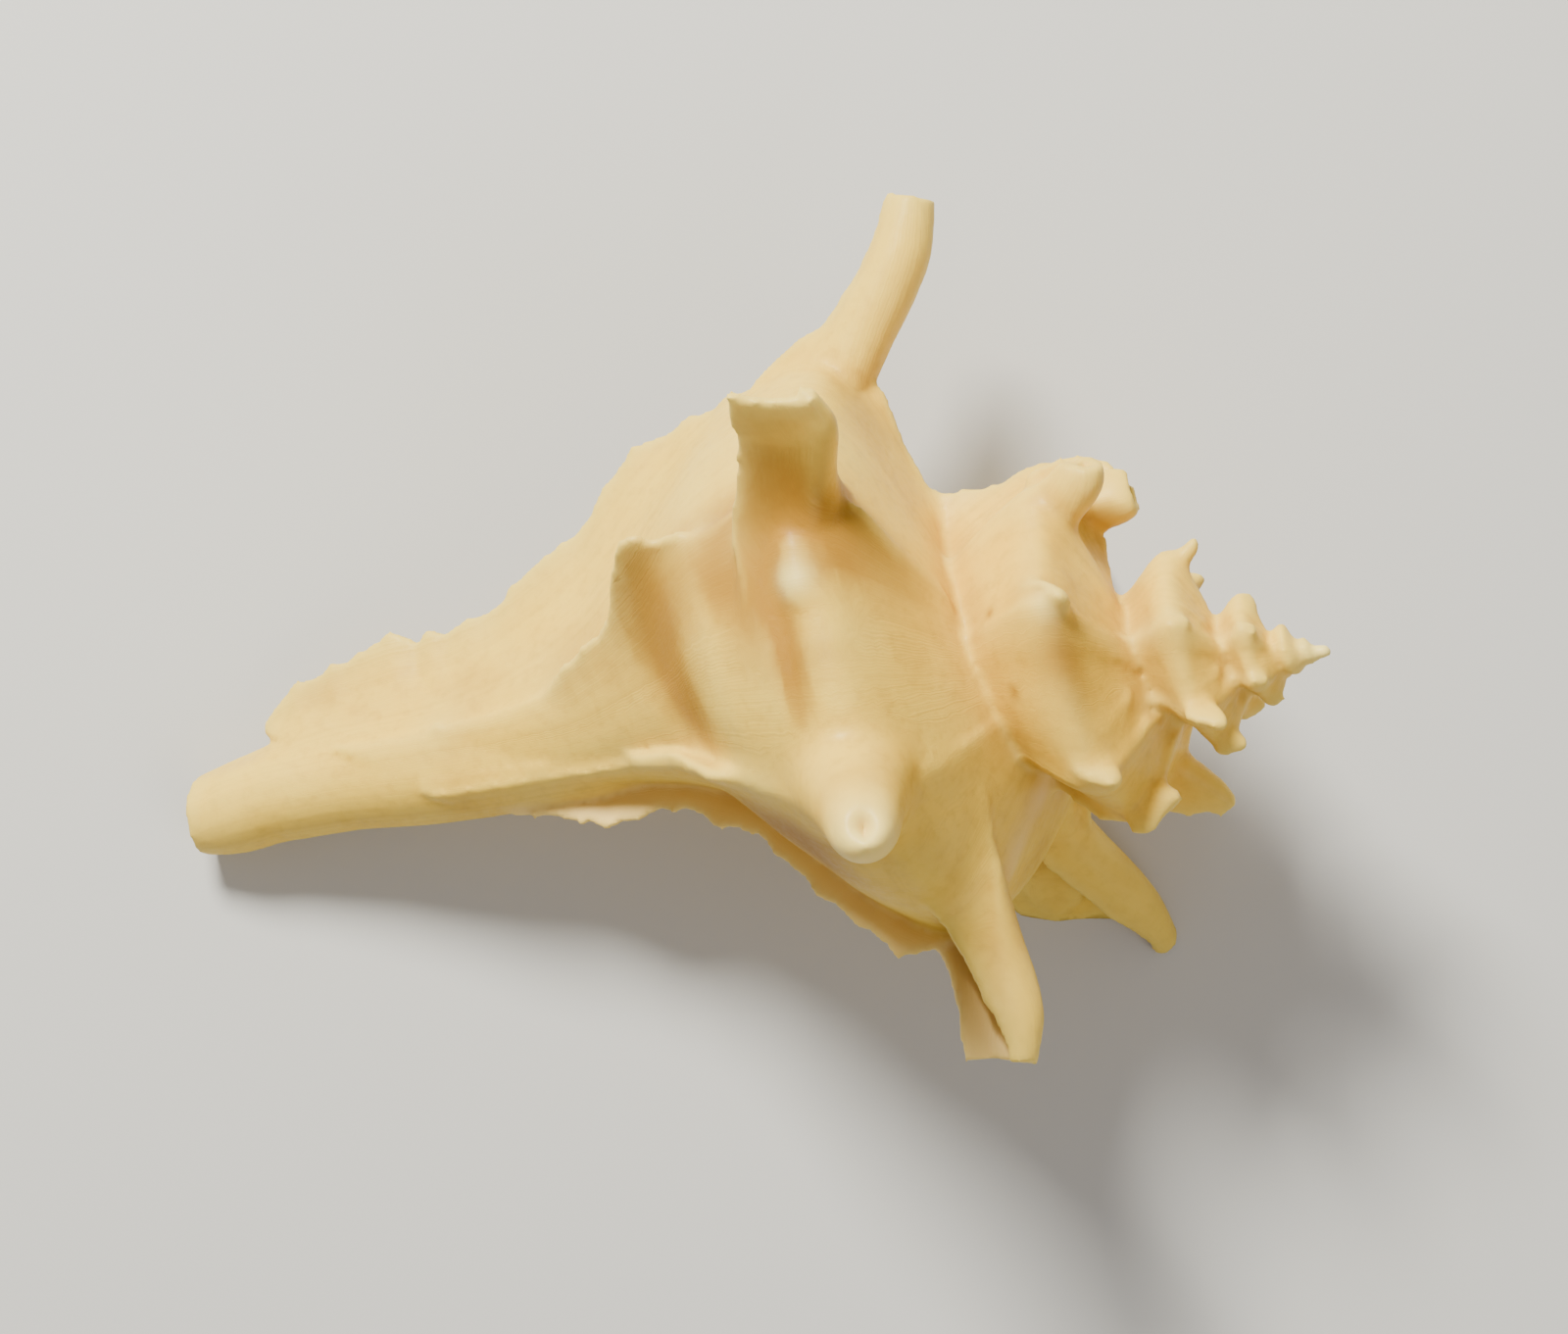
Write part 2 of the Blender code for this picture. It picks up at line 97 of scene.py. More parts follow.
# %% Ease, smooth line and ripple
def smooth(x):
    x = np.clip(x, 0.0, 1.0)
    return x * x * (3 - 2 * x)


def curve(at, xs, ys):
    xs, ys = np.asarray(xs, float), np.asarray(ys, float)
    slope = np.gradient(ys, xs)
    at = np.clip(at, xs[0], xs[-1])
    i = np.clip(np.searchsorted(xs, at) - 1, 0, len(xs) - 2)
    step = xs[i + 1] - xs[i]
    t = (at - xs[i]) / step
    return (
        (2 * t**3 - 3 * t**2 + 1) * ys[i]
        + (t**3 - 2 * t**2 + t) * step * slope[i]
        + (3 * t**2 - 2 * t**3) * ys[i + 1]
        + (t**3 - t**2) * step * slope[i + 1]
    )


def ripple(x, phase=0.0):
    """A wobble between about -1 and 1 with a main wavelength of 1."""
    x = np.asarray(x, float) * 2 * np.pi
    total = 0.0
    for k, (stretch, weight) in enumerate(((0.61, 0.7), (1.0, 1.0), (1.73, 0.6), (3.11, 0.35))):
        total = total + weight * np.sin(x * stretch + phase * (1.7 + k) + 2.3 * k)
    return total / 2.2


print("ripple at a few places:", np.round(ripple(np.arange(4) * 0.3), 2).tolist())

# %% [markdown]
# ## Outline of one whorl
#
# The outline rises steeply from the suture to a shoulder and falls away to the canal. Between
# two blades the shoulder sags a little, as cloth does between two poles, and this gives the
# shallow valleys that catch the shade. The last whorl also has low folds of its own, each with a
# place on the outline and a range of turning angles. The numbers were measured from the
# photograph. Sculpting could make such folds too, but a list of numbers is easier to correct.

# %% Outline of one whorl, measured at the lip
# Distance along the axis and radius, from the suture over the shoulder to the canal
PROFILE_S = [23.6, 24.6, 25.8, 27.6, 29.4, 30.9, 32.6, 35, 37.7, 40.2]
PROFILE_S += [42.4, 44.5, 46.6, 49, 52, 56, 63, 70, 77]
PROFILE_R = [6, 8.2, 11, 14.4, 17.4, 19.2, 19.7, 19.2, 18, 16.4]
PROFILE_R += [14.6, 12.6, 10.6, 8.6, 6.9, 5.4, 4.2, 3.6, 3]
CANAL_S = [46, 52, 57, 60, 65, 70.5, 74, 75.8, 77]
CANAL_R = [3.6, 3.7, 3.7, 3.6, 3.3, 3.1, 2.85, 2.3, 1.7]
CANAL_START, CANAL_END = 46.0, 76.3
LAST_BLADES = [0, -55, -116, -171, -234, -300]
BLADE_TURNS = LAST_BLADES + [-358, -384, -432, -498, -541, -581, -635, -683]
BLADE_TURNS += [-728, -790, -851, -900, -956, -1018, -1091, -1146, -1206, -1266, -1330]
print(len(PROFILE_S), "points on the outline,", len(LAST_BLADES), "blades on the last whorl")

# %% Sag between the blades
SWELL_S = [24.6, 27, 30, 33, 37, 44]
SWELL = [0, 0.5, 1, 0.9, 0.45, 0]
SWELL_BODY, SWELL_SPIRE, SAG = 1.3, 3.4, 2.6  # mm at the lip, mm on the spire, how sharp


def swell(share, turn):
    """How far the shoulder stands out: most at a blade, least half way to the next."""
    turns = np.array(BLADE_TURNS[::-1], float)
    turn = np.asarray(turn, float)
    i = np.clip(np.searchsorted(turns, turn) - 1, 0, len(turns) - 2)
    t = np.clip((turn - turns[i]) / (turns[i + 1] - turns[i]), 0.0, 1.0)
    sag = (1 - t) ** SAG + t**SAG
    size = SWELL_BODY + (SWELL_SPIRE - SWELL_BODY) * smooth((-300.0 - turn) / 120.0)
    fade = smooth((turn - turns[0] + 200.0) / 200.0)
    return np.maximum(curve(share, SWELL_S, SWELL), 0.0) * sag * size * fade


print("the shoulder stands out by", np.round(swell(30.0, [0.0, -27.5, -55.0]), 2).tolist(), "mm")

# %% Low folds of the last whorl
# Place on the outline, breadth and height in mm, turning angle of the middle, reach in degrees
PLEATS = [
    (45.2, 2.2, -1.1, -84, 34),
    (40.6, 1.9, 0.35, -80, 34),
    (33.9, 1.2, -0.55, -88, 16),
    (40.5, 2, -0.5, -142, 18),
    (33, 1.5, -0.35, -140, 14),
    (32.6, 1, 0.6, -72, 5),
]


def patch_at(share, turn, at, wide, middle_turn, reach):
    """A soft patch of the whorl: 1 in its middle, 0 outside."""
    return np.exp(-(((share - at) / wide) ** 2) - ((turn - middle_turn) / reach) ** 4)


def pleats(share, turn):
    height = 0.0
    for at, wide, high, middle_turn, reach in PLEATS:
        height = height + high * patch_at(share, turn, at, wide, middle_turn, reach)
    return height


print("depth of the fold beside the second blade:", round(float(pleats(45.2, -84.0)), 2), "mm")

# %% Radius anywhere on the shell
OLD_SLIM = 0.13  # how much slimmer the lower half of the oldest whorls is


def whorl_radius(along, turn):
    """Outer radius of the whorl, never thinner than the canal."""
    g = growth(turn)
    share = along / g
    slim = 1 - OLD_SLIM * smooth((share - 33.0) / 8.0) * smooth((-500.0 - np.asarray(turn)) / 300.0)
    radius = curve(share, PROFILE_S, PROFILE_R) * slim + swell(share, turn) + pleats(share, turn)
    canal = np.where(along > CANAL_START, curve(along, CANAL_S, CANAL_R), 0.0)
    return np.maximum(radius * g, canal)


print("radius at the shoulder of the last whorl:", round(float(whorl_radius(32.6, 0.0)), 1), "mm")

# %% [markdown]
# ## Sheets of shell
#
# Every part of the shell is a thin sheet: the wall, the blades, the spines. A sheet is a grid of
# points, with a copy of the grid on each side of it for its thickness. A Solidify modifier would
# do the same for one grid, but here dozens of sheets are melted into one skin, so we collect
# their faces as plain numbers. Each point remembers its growth line and its kind of sheet, and
# each free edge is noted, because the colours follow them.

# %% Collect closed sheets
# The four kinds of sheet
OTHER_SHEET, OUTER_WALL, INNER_LIP, BLADE_SHEET = 0.0, 1.0, 2.0, 3.0
sheets = {"points": [], "faces": [], "count": 0}
grown = {"points": [], "line": [], "turn": [], "wall": []}
free_edges = {"points": [], "size": []}


def note_points(grid, faces):
    sheets["points"].append(grid.reshape(-1, 3))
    sheets["faces"] += (faces + sheets["count"]).tolist()
    sheets["count"] += len(grid.reshape(-1, 3))


def remember(points, line, turn, wall):
    """Keep the growth line, the turning angle and the kind of sheet at each point."""
    grown["points"].append(points.reshape(-1, 3))
    for name, values in (("line", line), ("turn", turn), ("wall", wall)):
        grown[name].append(np.broadcast_to(values, points.shape[:-1]).ravel())


def add_sheet(points, thick, line, turn, wall=OTHER_SHEET):
    """A closed sheet about a grid of points, which remembers the growth line at each point."""
    rows, columns = points.shape[:2]
    facing = np.cross(np.gradient(points, axis=0), np.gradient(points, axis=1))
    facing /= np.maximum(np.linalg.norm(facing, axis=2, keepdims=True), 1e-9)
    half = np.broadcast_to(thick, (rows, columns))[..., None] * facing / 2
    index = np.arange(rows * columns).reshape(rows, columns)
    quads = np.stack([index[:-1, :-1], index[1:, :-1], index[1:, 1:], index[:-1, 1:]], axis=-1)
    quads = quads.reshape(-1, 4)
    rim = np.concatenate([index[0, :-1], index[:-1, -1], index[-1, :0:-1], index[:0:-1, 0]])
    far = index.size
    side = np.stack([rim, np.roll(rim, -1), np.roll(rim, -1) + far, rim + far], axis=-1)
    both_faces = np.stack([points + half, points - half])
    note_points(both_faces, np.vstack([quads, quads[:, ::-1] + far, side]))
    remember(points, line, turn, wall)


print("sheets are collected as", ", ".join(sheets))


# %% Closed bodies and free edges
def add_lathe(rings, turns):
    """A closed body through rings of points."""
    count = rings.shape[1]
    index = np.arange(len(rings) * count).reshape(len(rings), count)
    after = np.roll(index, -1, axis=1)
    quads = np.stack([index[:-1], after[:-1], after[1:], index[1:]], axis=-1).reshape(-1, 4)
    base = sheets["count"]
    note_points(rings, quads)
    sheets["faces"] += [(end + base).tolist() for end in (index[0, ::-1], index[-1])]
    turn = np.asarray(turns, float)[:, None]
    remember(rings, turn, turn, OTHER_SHEET)


def note_edge(points, size):
    free_edges["points"].append(points.reshape(-1, 3))
    free_edges["size"].append(np.full(points.size // 3, float(size)))


print("free edges are noted as", ", ".join(free_edges))

# %% [markdown]
# ## Whorls, canal, pillar and inner lip
#
# The older whorls are closed inside, so they are one solid core. The last whorl is an open wall
# that you can look into from the mouth. The canal is a tube with a slit along its underside, and
# the pillar is what the whorls wind round. The glaze of the inner lip lies over the start of the
# last whorl. A Screw modifier could wind an outline up, but not let it grow with each turn.

# %% Core of the older whorls
HOLLOW_FROM = -225.0  # the last whorl is hollow from this turning angle on
FIRST_TURN = -2060.0
BALL_LENGTH, BALL_RADIUS = 1.3, 0.5  # the first whorl of all is a small ball
AXIS_S = np.linspace(77.0, 23.6, 8)  # the core is closed along the axis

core_turns = np.arange(FIRST_TURN, HOLLOW_FROM + 10.0, 4.0)
core_s = np.linspace(PROFILE_S[0], PROFILE_S[-1], 130)
rings = []
for turn in core_turns:
    g = growth(turn)
    angle = LIP_ANGLE + turn
    outer = place(core_s * g, whorl_radius(core_s * g, turn), angle)
    rings.append(np.concatenate([outer, place(AXIS_S * g, 0.0 * AXIS_S, angle)]))
add_lathe(np.array(rings), core_turns)

half_ball = BALL_LENGTH / 2
around_ball = np.arange(0, 360, 15)
ball = [
    place(half_ball - half_ball * np.cos(b), BALL_RADIUS * np.sin(b), around_ball)
    for b in np.linspace(0, np.pi, 15)[1:-1]
]
add_lathe(np.array(ball), np.full(len(ball), FIRST_TURN))
print("core of", len(core_turns), "rings")

# %% Wall of the last whorl
WALL = 1.1
RISE_RUN = 6.0  # how far behind its edge a blade starts to rise from the whorl

wall_turns = np.arange(HOLLOW_FROM - 8.0, -RISE_RUN * 2.2, 2.0)
wall_s = np.linspace(PROFILE_S[0], PROFILE_S[-1], 150)
turn, column = np.meshgrid(wall_turns, wall_s, indexing="ij")
along = column * growth(turn)
middle_of_wall = place(along, whorl_radius(along, turn) - WALL / 2, LIP_ANGLE + turn)
add_sheet(middle_of_wall, WALL, turn, turn, OUTER_WALL)
print("wall of", len(wall_turns), "rows")

# %% Canal with its slit
# Distance along the axis, and the angles between which the tube is closed
SLIT_S = [47, 53, 58, 77]
SLIT_FROM = [92, 100, 108, 112]
SLIT_TO = [215, 175, 146, 143]

canal_s = np.linspace(SLIT_S[0], CANAL_END, 90)
along, share = np.meshgrid(canal_s, np.linspace(0, 1, 80), indexing="ij")
first = np.interp(along, SLIT_S, SLIT_TO) - 360.0
angle = first + (np.interp(along, SLIT_S, SLIT_FROM) - first) * share
turn = np.clip(angle - LIP_ANGLE, HOLLOW_FROM, 0.0)
plain = curve(along, CANAL_S, CANAL_R)
radius = plain + (whorl_radius(along, turn) - plain) * smooth((angle + 150.0) / 60.0)
canal = place(along, radius - WALL / 2, angle)
add_sheet(canal, WALL, turn, turn)
note_edge(canal[-1], 1.0)
note_edge(canal[20:, 0], 0.7)
note_edge(canal[20:, -1], 0.7)
print("canal of", canal.shape[0], "by", canal.shape[1], "points")

# %% Pillar and glaze of the inner lip
PILLAR_S = [22, 36, 44, 52, 58, 62]
PILLAR_R = [4, 3.3, 2.85, 2.2, 1.5, 0.8]
PILLAR_SHIFT = [0, 0, 0, 1, 1.9, 2.4]  # lower down it runs off the axis
PILLAR_ANGLE = np.radians(205.0)
GLAZE_FROM, GLAZE_TO, GLAZE_THICK = 25.5, 54.0, 1.0

around = np.radians(np.arange(0, 360, 12))
rings = []
for a in np.linspace(PILLAR_S[0], PILLAR_S[-1], 50):
    r, d = np.interp(a, PILLAR_S, PILLAR_R), np.interp(a, PILLAR_S, PILLAR_SHIFT)
    x = d * np.cos(PILLAR_ANGLE) + r * np.cos(around)
    y = d * np.sin(PILLAR_ANGLE) + r * np.sin(around)
    rings.append(place(a, np.hypot(x, y), np.degrees(np.arctan2(y, x))))
add_lathe(np.array(rings), np.full(len(rings), -200.0))

angle, share = np.meshgrid(np.linspace(92.0, 178.0, 60), np.linspace(0, 1, 70), indexing="ij")
turn = angle - LIP_ANGLE - 360.0
along = GLAZE_FROM + (GLAZE_TO - GLAZE_FROM) * share
radius = np.maximum(whorl_radius(along, turn), np.interp(along, [25, 45, 54], [3.0, 2.9, 2.6]))
add_sheet(place(along, radius + 0.15, angle), GLAZE_THICK, turn, turn, INNER_LIP)
print("points so far:", sheets["count"])

# %% [markdown]
# ## Blades
#
# Now and then the snail flares its lip out and rests. Each rest leaves a blade: a sheet that
# rises from the whorl to a free edge. Its outer edge is never a clean line. It has shallow
# hollows between small teeth, and near the canal a chip is gone from the youngest one. A Displace
# modifier would give teeth as well, but not along an edge. Where one blade differs from the rule,
# a short table holds its value under its turning angle.

# %% Blades with scalloped edges
# Distance along the axis and radius of the free edge at the lip
EDGE_S = [24.4, 25.2, 26.4, 27.4, 30, 34, 37, 39.5, 42.2, 45.2, 46.9]
EDGE_S += [49.2, 52.5, 54, 56.3, 59.8, 61, 63.5, 65.7, 68, 70, 71.5]
EDGE_R = [11, 13, 15.5, 18.5, 20, 20.4, 20, 19.4, 18.8, 17.9, 16.1]
EDGE_R += [13.6, 12, 10.6, 9.4, 9.1, 9.3, 8.9, 8, 7.4, 6.6, 5]
LIFT_S = [26, 31, 37, 42, 45.2, 48, 55, 65]  # where the lifts below apply
BLADE, EDGE_SHARE = 0.95, 0.5  # thickness in mm, and the share of it left at the edge
LINE = 0.34  # mm from one growth line to the next
THICK_RIM = {-116: 2.1, -55: 1.3}  # thicker edge
NOTCHES = {0: [(60.2, 0.4, 0.9)]}  # chips: place, half width, depth
TEETH = {-116: 0.25}  # teeth worn down to this share


def add_blade(turn, reach, lift):
    g = growth(turn)
    count = 240 if reach > 50 else 100
    base_s = np.linspace(PROFILE_S[1], min(reach + 1.0, 71.5), count)
    edge_r = curve(base_s, EDGE_S, EDGE_R) + np.interp(base_s, LIFT_S, lift)
    tooth = np.abs(np.sin(base_s + 0.9 * ripple(base_s / 7.0, turn)))
    scallop = 0.22 - 0.55 * tooth + 0.10 * ripple(base_s / 0.9, turn + 5.0)
    for at, wide, deep in NOTCHES.get(turn, []):
        scallop = scallop - deep * np.exp(-(((base_s - at) / wide) ** 2))
    edge_r = edge_r + scallop * smooth((base_s - 34.0) / 4.0) * TEETH.get(turn, 1.0)
    d = np.linspace(0, 1, 30)[:, None]
    run = (RISE_RUN * np.interp(base_s, [24, 32, 46, 60], [0.6, 1.0, 0.8, 0.35]) * g)[None, :]
    base_r = whorl_radius(base_s * g, turn)
    edge_r = np.maximum(edge_r * g, base_r + 0.2)
    start_turn = turn - np.degrees(run / np.maximum(base_r, 2.0))
    start_r = whorl_radius(base_s * growth(start_turn), start_turn)
    forward = 1 - (1 - d) ** 2
    here = start_turn + (turn - start_turn) * forward
    along = base_s[None, :] * (growth(start_turn) + (g - growth(start_turn)) * forward)
    radius = start_r + (base_r - start_r) * forward + (edge_r - base_r)[None, :] * d**2
    thick = min(BLADE, 0.65 + 0.3 * g) * (1 - (1 - EDGE_SHARE) * d**2)
    thick = thick * (1 + (THICK_RIM.get(turn, 1.0) - 1) * d**2)
    radius = radius - thick / 2 * (1 - forward)
    points = place(along, radius, LIP_ANGLE + here)
    line = here + (edge_r - base_r)[None, :] * d**2 / (LINE * g)
    add_sheet(points, thick + 0 * radius, line, here, BLADE_SHEET)
    clear = (base_s > 35.5) & (edge_r > base_r + 0.5 * g)
    note_edge(points[-1][clear], g**0.5)


print("a blade is", BLADE, "mm thick and", BLADE * EDGE_SHARE, "mm at its edge")

# %% [markdown]
# ## Spines
#
# At the shoulder each blade runs out into a spine. It is a gutter: the back sheet turns round on
# the side of the apex and comes back as a fold in front, so the spine is hollow and open along
# one side. On the lip itself the fold isn't laid down yet. The tips are broken off, as on almost
# every real shell. A curve with a bevel would give a round tube, so we build the gutter in three
# steps: a bent line from shoulder to tip, a cross section along it, and a foot that lies on the
# whorl and eases into that section.

# %% The bent line that a spine follows
SPINE_S = [33.2, 32, 30.4, 29, 27.4, 26.3, 25.8, 25.3]
SPINE_R = [18.4, 20, 21.3, 23, 25.4, 27.5, 29.2, 31.2]
SPINE_ROWS = 90
ROOT = {-171: -2.7, -55: 1.4}  # shifts the root along the axis, in mm


def spine_line(turn, tip_s, tip_r, d):
    """Middle of the spine from shoulder to tip, and the direction across it."""
    steps = np.linspace(0, 1, len(SPINE_S))
    stretch = (tip_r - SPINE_R[0]) / (SPINE_R[-1] - SPINE_R[0])
    c_s = curve(d, steps, SPINE_S) + (tip_s - SPINE_S[-1]) * d
    c_s = c_s + ROOT.get(turn, 0.0) * (1 - d) ** 1.5
    c_r = SPINE_R[0] + (curve(d, steps, SPINE_R) - SPINE_R[0]) * stretch
    t_s, t_r = np.gradient(c_s), np.gradient(c_r)
    length = np.hypot(t_s, t_r)
    return c_s[:, None], c_r[:, None], (-t_r / length)[:, None], (t_s / length)[:, None]


print("spine at the lip:", SPINE_R[-1], "mm from the axis at its tip")

# %% Its cross section: back sheet, bend and fold
SPINE_WIDE = [5, 3.5, 2.4, 1.9, 1.75, 1.7, 1.6, 1.3]
SPINE_DEEP = [0.8, 1.5, 1.9, 1.9, 1.9, 1.8, 1.6, 1.3]
FOLD_D = [0, 0.2, 0.45, 0.7, 0.88, 1]
FOLD_WIDE = [6.4, 7, 6.2, 4.9, 2.6, 2.2]
SPIRE_TAPER = 0.45  # spines of the spire come to a finer point
GUTTER_LIP = 0.9
FOLD_BASE = {-234: 0.8}  # narrower fold at the root
OPEN_BEND, CLOSED_BEND = 0.62 * np.pi, np.pi


def spine_section(turn, broad, skirt, fold_share, tip_share, twist, d):
    """Offsets across the spine and forward, the width of its skirt, and its three parts."""
    g = growth(turn)
    folded = turn < 0
    steps = np.linspace(0, 1, len(SPINE_WIDE))
    point = 1 - SPIRE_TAPER * smooth(d) * smooth((-400.0 - turn) / 30.0)
    wide = curve(d, steps, SPINE_WIDE) * (1 + (broad - 1) * smooth(d / 0.3)) * point
    deep = curve(d, steps, SPINE_DEEP) * (1 + (tip_share - 1) * smooth(d)) * point
    left = wide + skirt * smooth(d / 0.35) + 0.16 * ripple(d * 4.0, turn) * smooth(d / 0.5) * g
    first = FOLD_BASE.get(turn, 1.0)
    breadth = broad / 1.2 * (first + (fold_share - first) * smooth(d / 0.5))
    breadth = breadth * (1.0 + 0.3 * smooth((-300.0 - turn) / 100.0))
    fold = np.interp(d, FOLD_D, FOLD_WIDE) * breadth + 0.22 * ripple(d * 5.0, turn + 3.0) * g

    w, h, f, l = wide[:, None], deep[:, None], fold[:, None], left[:, None]
    back = np.linspace(0, 1, 37)[:-1]
    bend = np.linspace(0, CLOSED_BEND if folded else OPEN_BEND, 25)
    front = np.linspace(0, 1, 30)[1:]
    lateral = [-l + (w - h + l) * back, w - h + h * np.sin(bend)]
    forward = [h * GUTTER_LIP * (1 - back) ** 2, h - h * np.cos(bend)]
    if folded:
        lateral.append(w - h - (f - h) * front)
        forward.append(2 * h + 0.25 * h * front**2)
    lateral, forward = np.hstack(lateral), np.hstack(forward)
    forward = forward - twist * smooth(d / 0.6)[:, None] * lateral - 0.9 * h
    return lateral, forward, l - w, (back, bend, front if folded else front[:0])


print("a spine is", 2 * SPINE_WIDE[-1], "mm wide at its tip")

# %% Its foot on the whorl
SHOULDER_S, SHOULDER_HALF = 31.5, 5.5  # the foot spans this much of the outline
FRONT_RUN = 5.0
HALF = {-432: 2.5}  # narrower foot
SETTLE = 0.3  # share of the length in which the foot becomes a gutter
SOFT_BASE = {-55: (0.62, 11.0, 5.0), -171: (0.6, 7.0, 11.0)}  # that share, run back, run forward


def spine_foot(turn, parts):
    """Place on the outline and distance forward of each column, where the spine starts."""
    back, bend, front = parts
    _, back_run, front_run = SOFT_BASE.get(turn, (SETTLE, RISE_RUN, FRONT_RUN))
    half = HALF.get(turn, SHOULDER_HALF)
    base = [SHOULDER_S + half * (1 - back), SHOULDER_S - half * bend / bend[-1]]
    turning = [0 * back, np.linspace(0, 1, len(bend))]
    if len(front):
        base.append(SHOULDER_S - half + 1.1 * half * front)
        turning.append(1 + 0 * front)
    base, turning = np.hstack(base), np.hstack(turning)
    run = -back_run + (back_run + (front_run if len(front) else 0.0)) * smooth(turning)
    return base, run


print("foot of a spine:", 2 * SHOULDER_HALF, "mm of the outline")

# %% The whole spine
APRON_DROP, EDGE_TUCK = 0.35, 3.0
THICK_SPINE = {-55: 1.2, -384: 1.6, -358: 1.3}
SLANT = {-55: 0.5}  # tilts the broken end


def add_spine(turn, tip_s, tip_r, broad, skirt, fold_share, tip_share, twist):
    g = growth(turn)
    d = np.linspace(0, 1, SPINE_ROWS)
    c_s, c_r, side_s, side_r = spine_line(turn, tip_s, tip_r, d)
    lateral, forward, skirt_here, parts = spine_section(
        turn, broad, skirt, fold_share, tip_share, twist, d
    )
    count = lateral.shape[1]
    hang = APRON_DROP * skirt_here * np.clip(np.linspace(1.6, -1.6, count), 0, 1)
    s = c_s + side_s * lateral
    r = c_r + side_r * lateral - hang - SLANT.get(turn, 0.0) * lateral * d[:, None] ** 3
    thick = min(BLADE, 0.65 + 0.3 * g) * np.interp(d, [0, 0.7, 1], [1.0, 0.85, 0.6])
    thick = thick * THICK_SPINE.get(turn, 1.0)

    base, run = spine_foot(turn, parts)
    foot = turn + np.degrees(run / PROFILE_R[6])
    base_r = whorl_radius(base * growth(foot), foot) / growth(foot) - thick[:, None] * 0.6 / g
    settle_by = SOFT_BASE.get(turn, (SETTLE,))[0]
    if turn in SOFT_BASE:
        tuck = np.clip(1 - np.linspace(0, 3, count), 0, 1) * (1 - smooth(d / 0.8))[:, None]
        r = r - EDGE_TUCK * tuck
    settle = smooth(d / settle_by)[:, None]
    away = (1 - np.clip(d / settle_by, 0, 1)[:, None]) ** 2
    s = base + (s - base) * settle
    r = base_r + (r - base_r) * settle
    here = turn + np.degrees((forward * settle + run * away) / np.maximum(r, 10.0))
    size = growth(here)
    points = place(s * size, r * size, LIP_ANGLE + here)
    across = np.linspace(0, 1, count)[None, :] * 12.0 / LINE
    line = turn + across * settle + (r - base_r) * 0.15 / LINE
    kind = np.where(np.arange(count) < len(parts[0]), BLADE_SHEET, OTHER_SHEET)
    add_sheet(points, np.repeat(thick[:, None], count, axis=1), line, turn + 0 * line, kind)
    note_edge(points[-1], 1.2 * g**0.5)
    note_edge(points[30:, 0], 0.8 * g**0.5)
    if len(parts[2]):
        note_edge(points[30:, -1], 0.6 * g**0.5)


print("rows along a spine:", SPINE_ROWS)

# %% [markdown]
# ## All blades and spines
#
# One row for each blade, youngest first: turning angle, spine tip (distance along the axis,
# radius), reach along the outline, breadth of the spine, width of the skirt that hangs from its
# open side, breadth of the fold, depth at the tip and twist. A second table says how much higher
# or lower the blade's edge stands than the one at the lip. Those that face the camera were read
# from the photograph, and the ones underneath follow the same rhythm. The third spine is worn
# down to a blunt horn, so it is a tapering body with a round end instead of a gutter.

# %% Grow the blades and spines
VARICES = [
    (0, 25.1, 31.3, 71.5, 1, 0, 1, 1, 0),
    (-55, 29.7, 30.2, 71, 1.05, 2.6, 0.5, 0.2, -0.1),
    (-116, 29.3, 30.2, 71, 1.1, 0.6, 0.2, 0.7, 0.6),
    (-171, 27.4, 32.5, 71, 1.2, 2.6, 0.64, 0.9, 0),
    (-234, 24.6, 40.4, 70, 1, 8.2, 0.75, 1, 0),
    (-300, 33.5, 35.2, 46, 1.1, 1.5, 1, 1, 0),
    (-358, 21.4, 19.8, 44, 1.4, 1, 1, 1, 0),
    (-384, 25.4, 25.5, 44, 1.2, 1, 0.8, 1, 0),
    (-432, 29.2, 25, 44, 0.9, 0.3, 0.6, 0.7, 0.5),
    (-498, 28.6, 24.4, 44, 0.9, 0.3, 0.8, 0.8, 0),
    (-541, 25.2, 21.2, 44, 1.2, 0.5, 1, 1, 0),
    (-581, 21.9, 29.3, 44, 1.3, 1.5, 1, 1, 0),
    (-635, 25, 26, 44, 1.1, 0.5, 1, 1, 0),
    (-683, 27.5, 23, 44, 1.1, 0.5, 1, 1, 0),
    (-728, 26, 25.5, 44, 0.7, 0, 0.6, 0.8, 0),
    (-790, 29, 22, 44, 0.6, 0, 0.6, 0.6, 0),
    (-851, 24.9, 28.7, 44, 1.5, 0.5, 0.8, 0.8, 0),
]
OLDEST = [(-900, 26, 25, 1.1), (-956, 26, 24, 1.1), (-1018, 27, 22, 1.1), (-1091, 27.4, 19.8, 1)]
OLDEST += [(-1146, 28, 23, 1), (-1206, 28, 23, 1), (-1266, 28, 22, 1), (-1330, 28, 22, 1)]
VARICES += [(turn, tip_s, tip_r, 44, broad, 0, 1, 1, 0) for turn, tip_s, tip_r, broad in OLDEST]
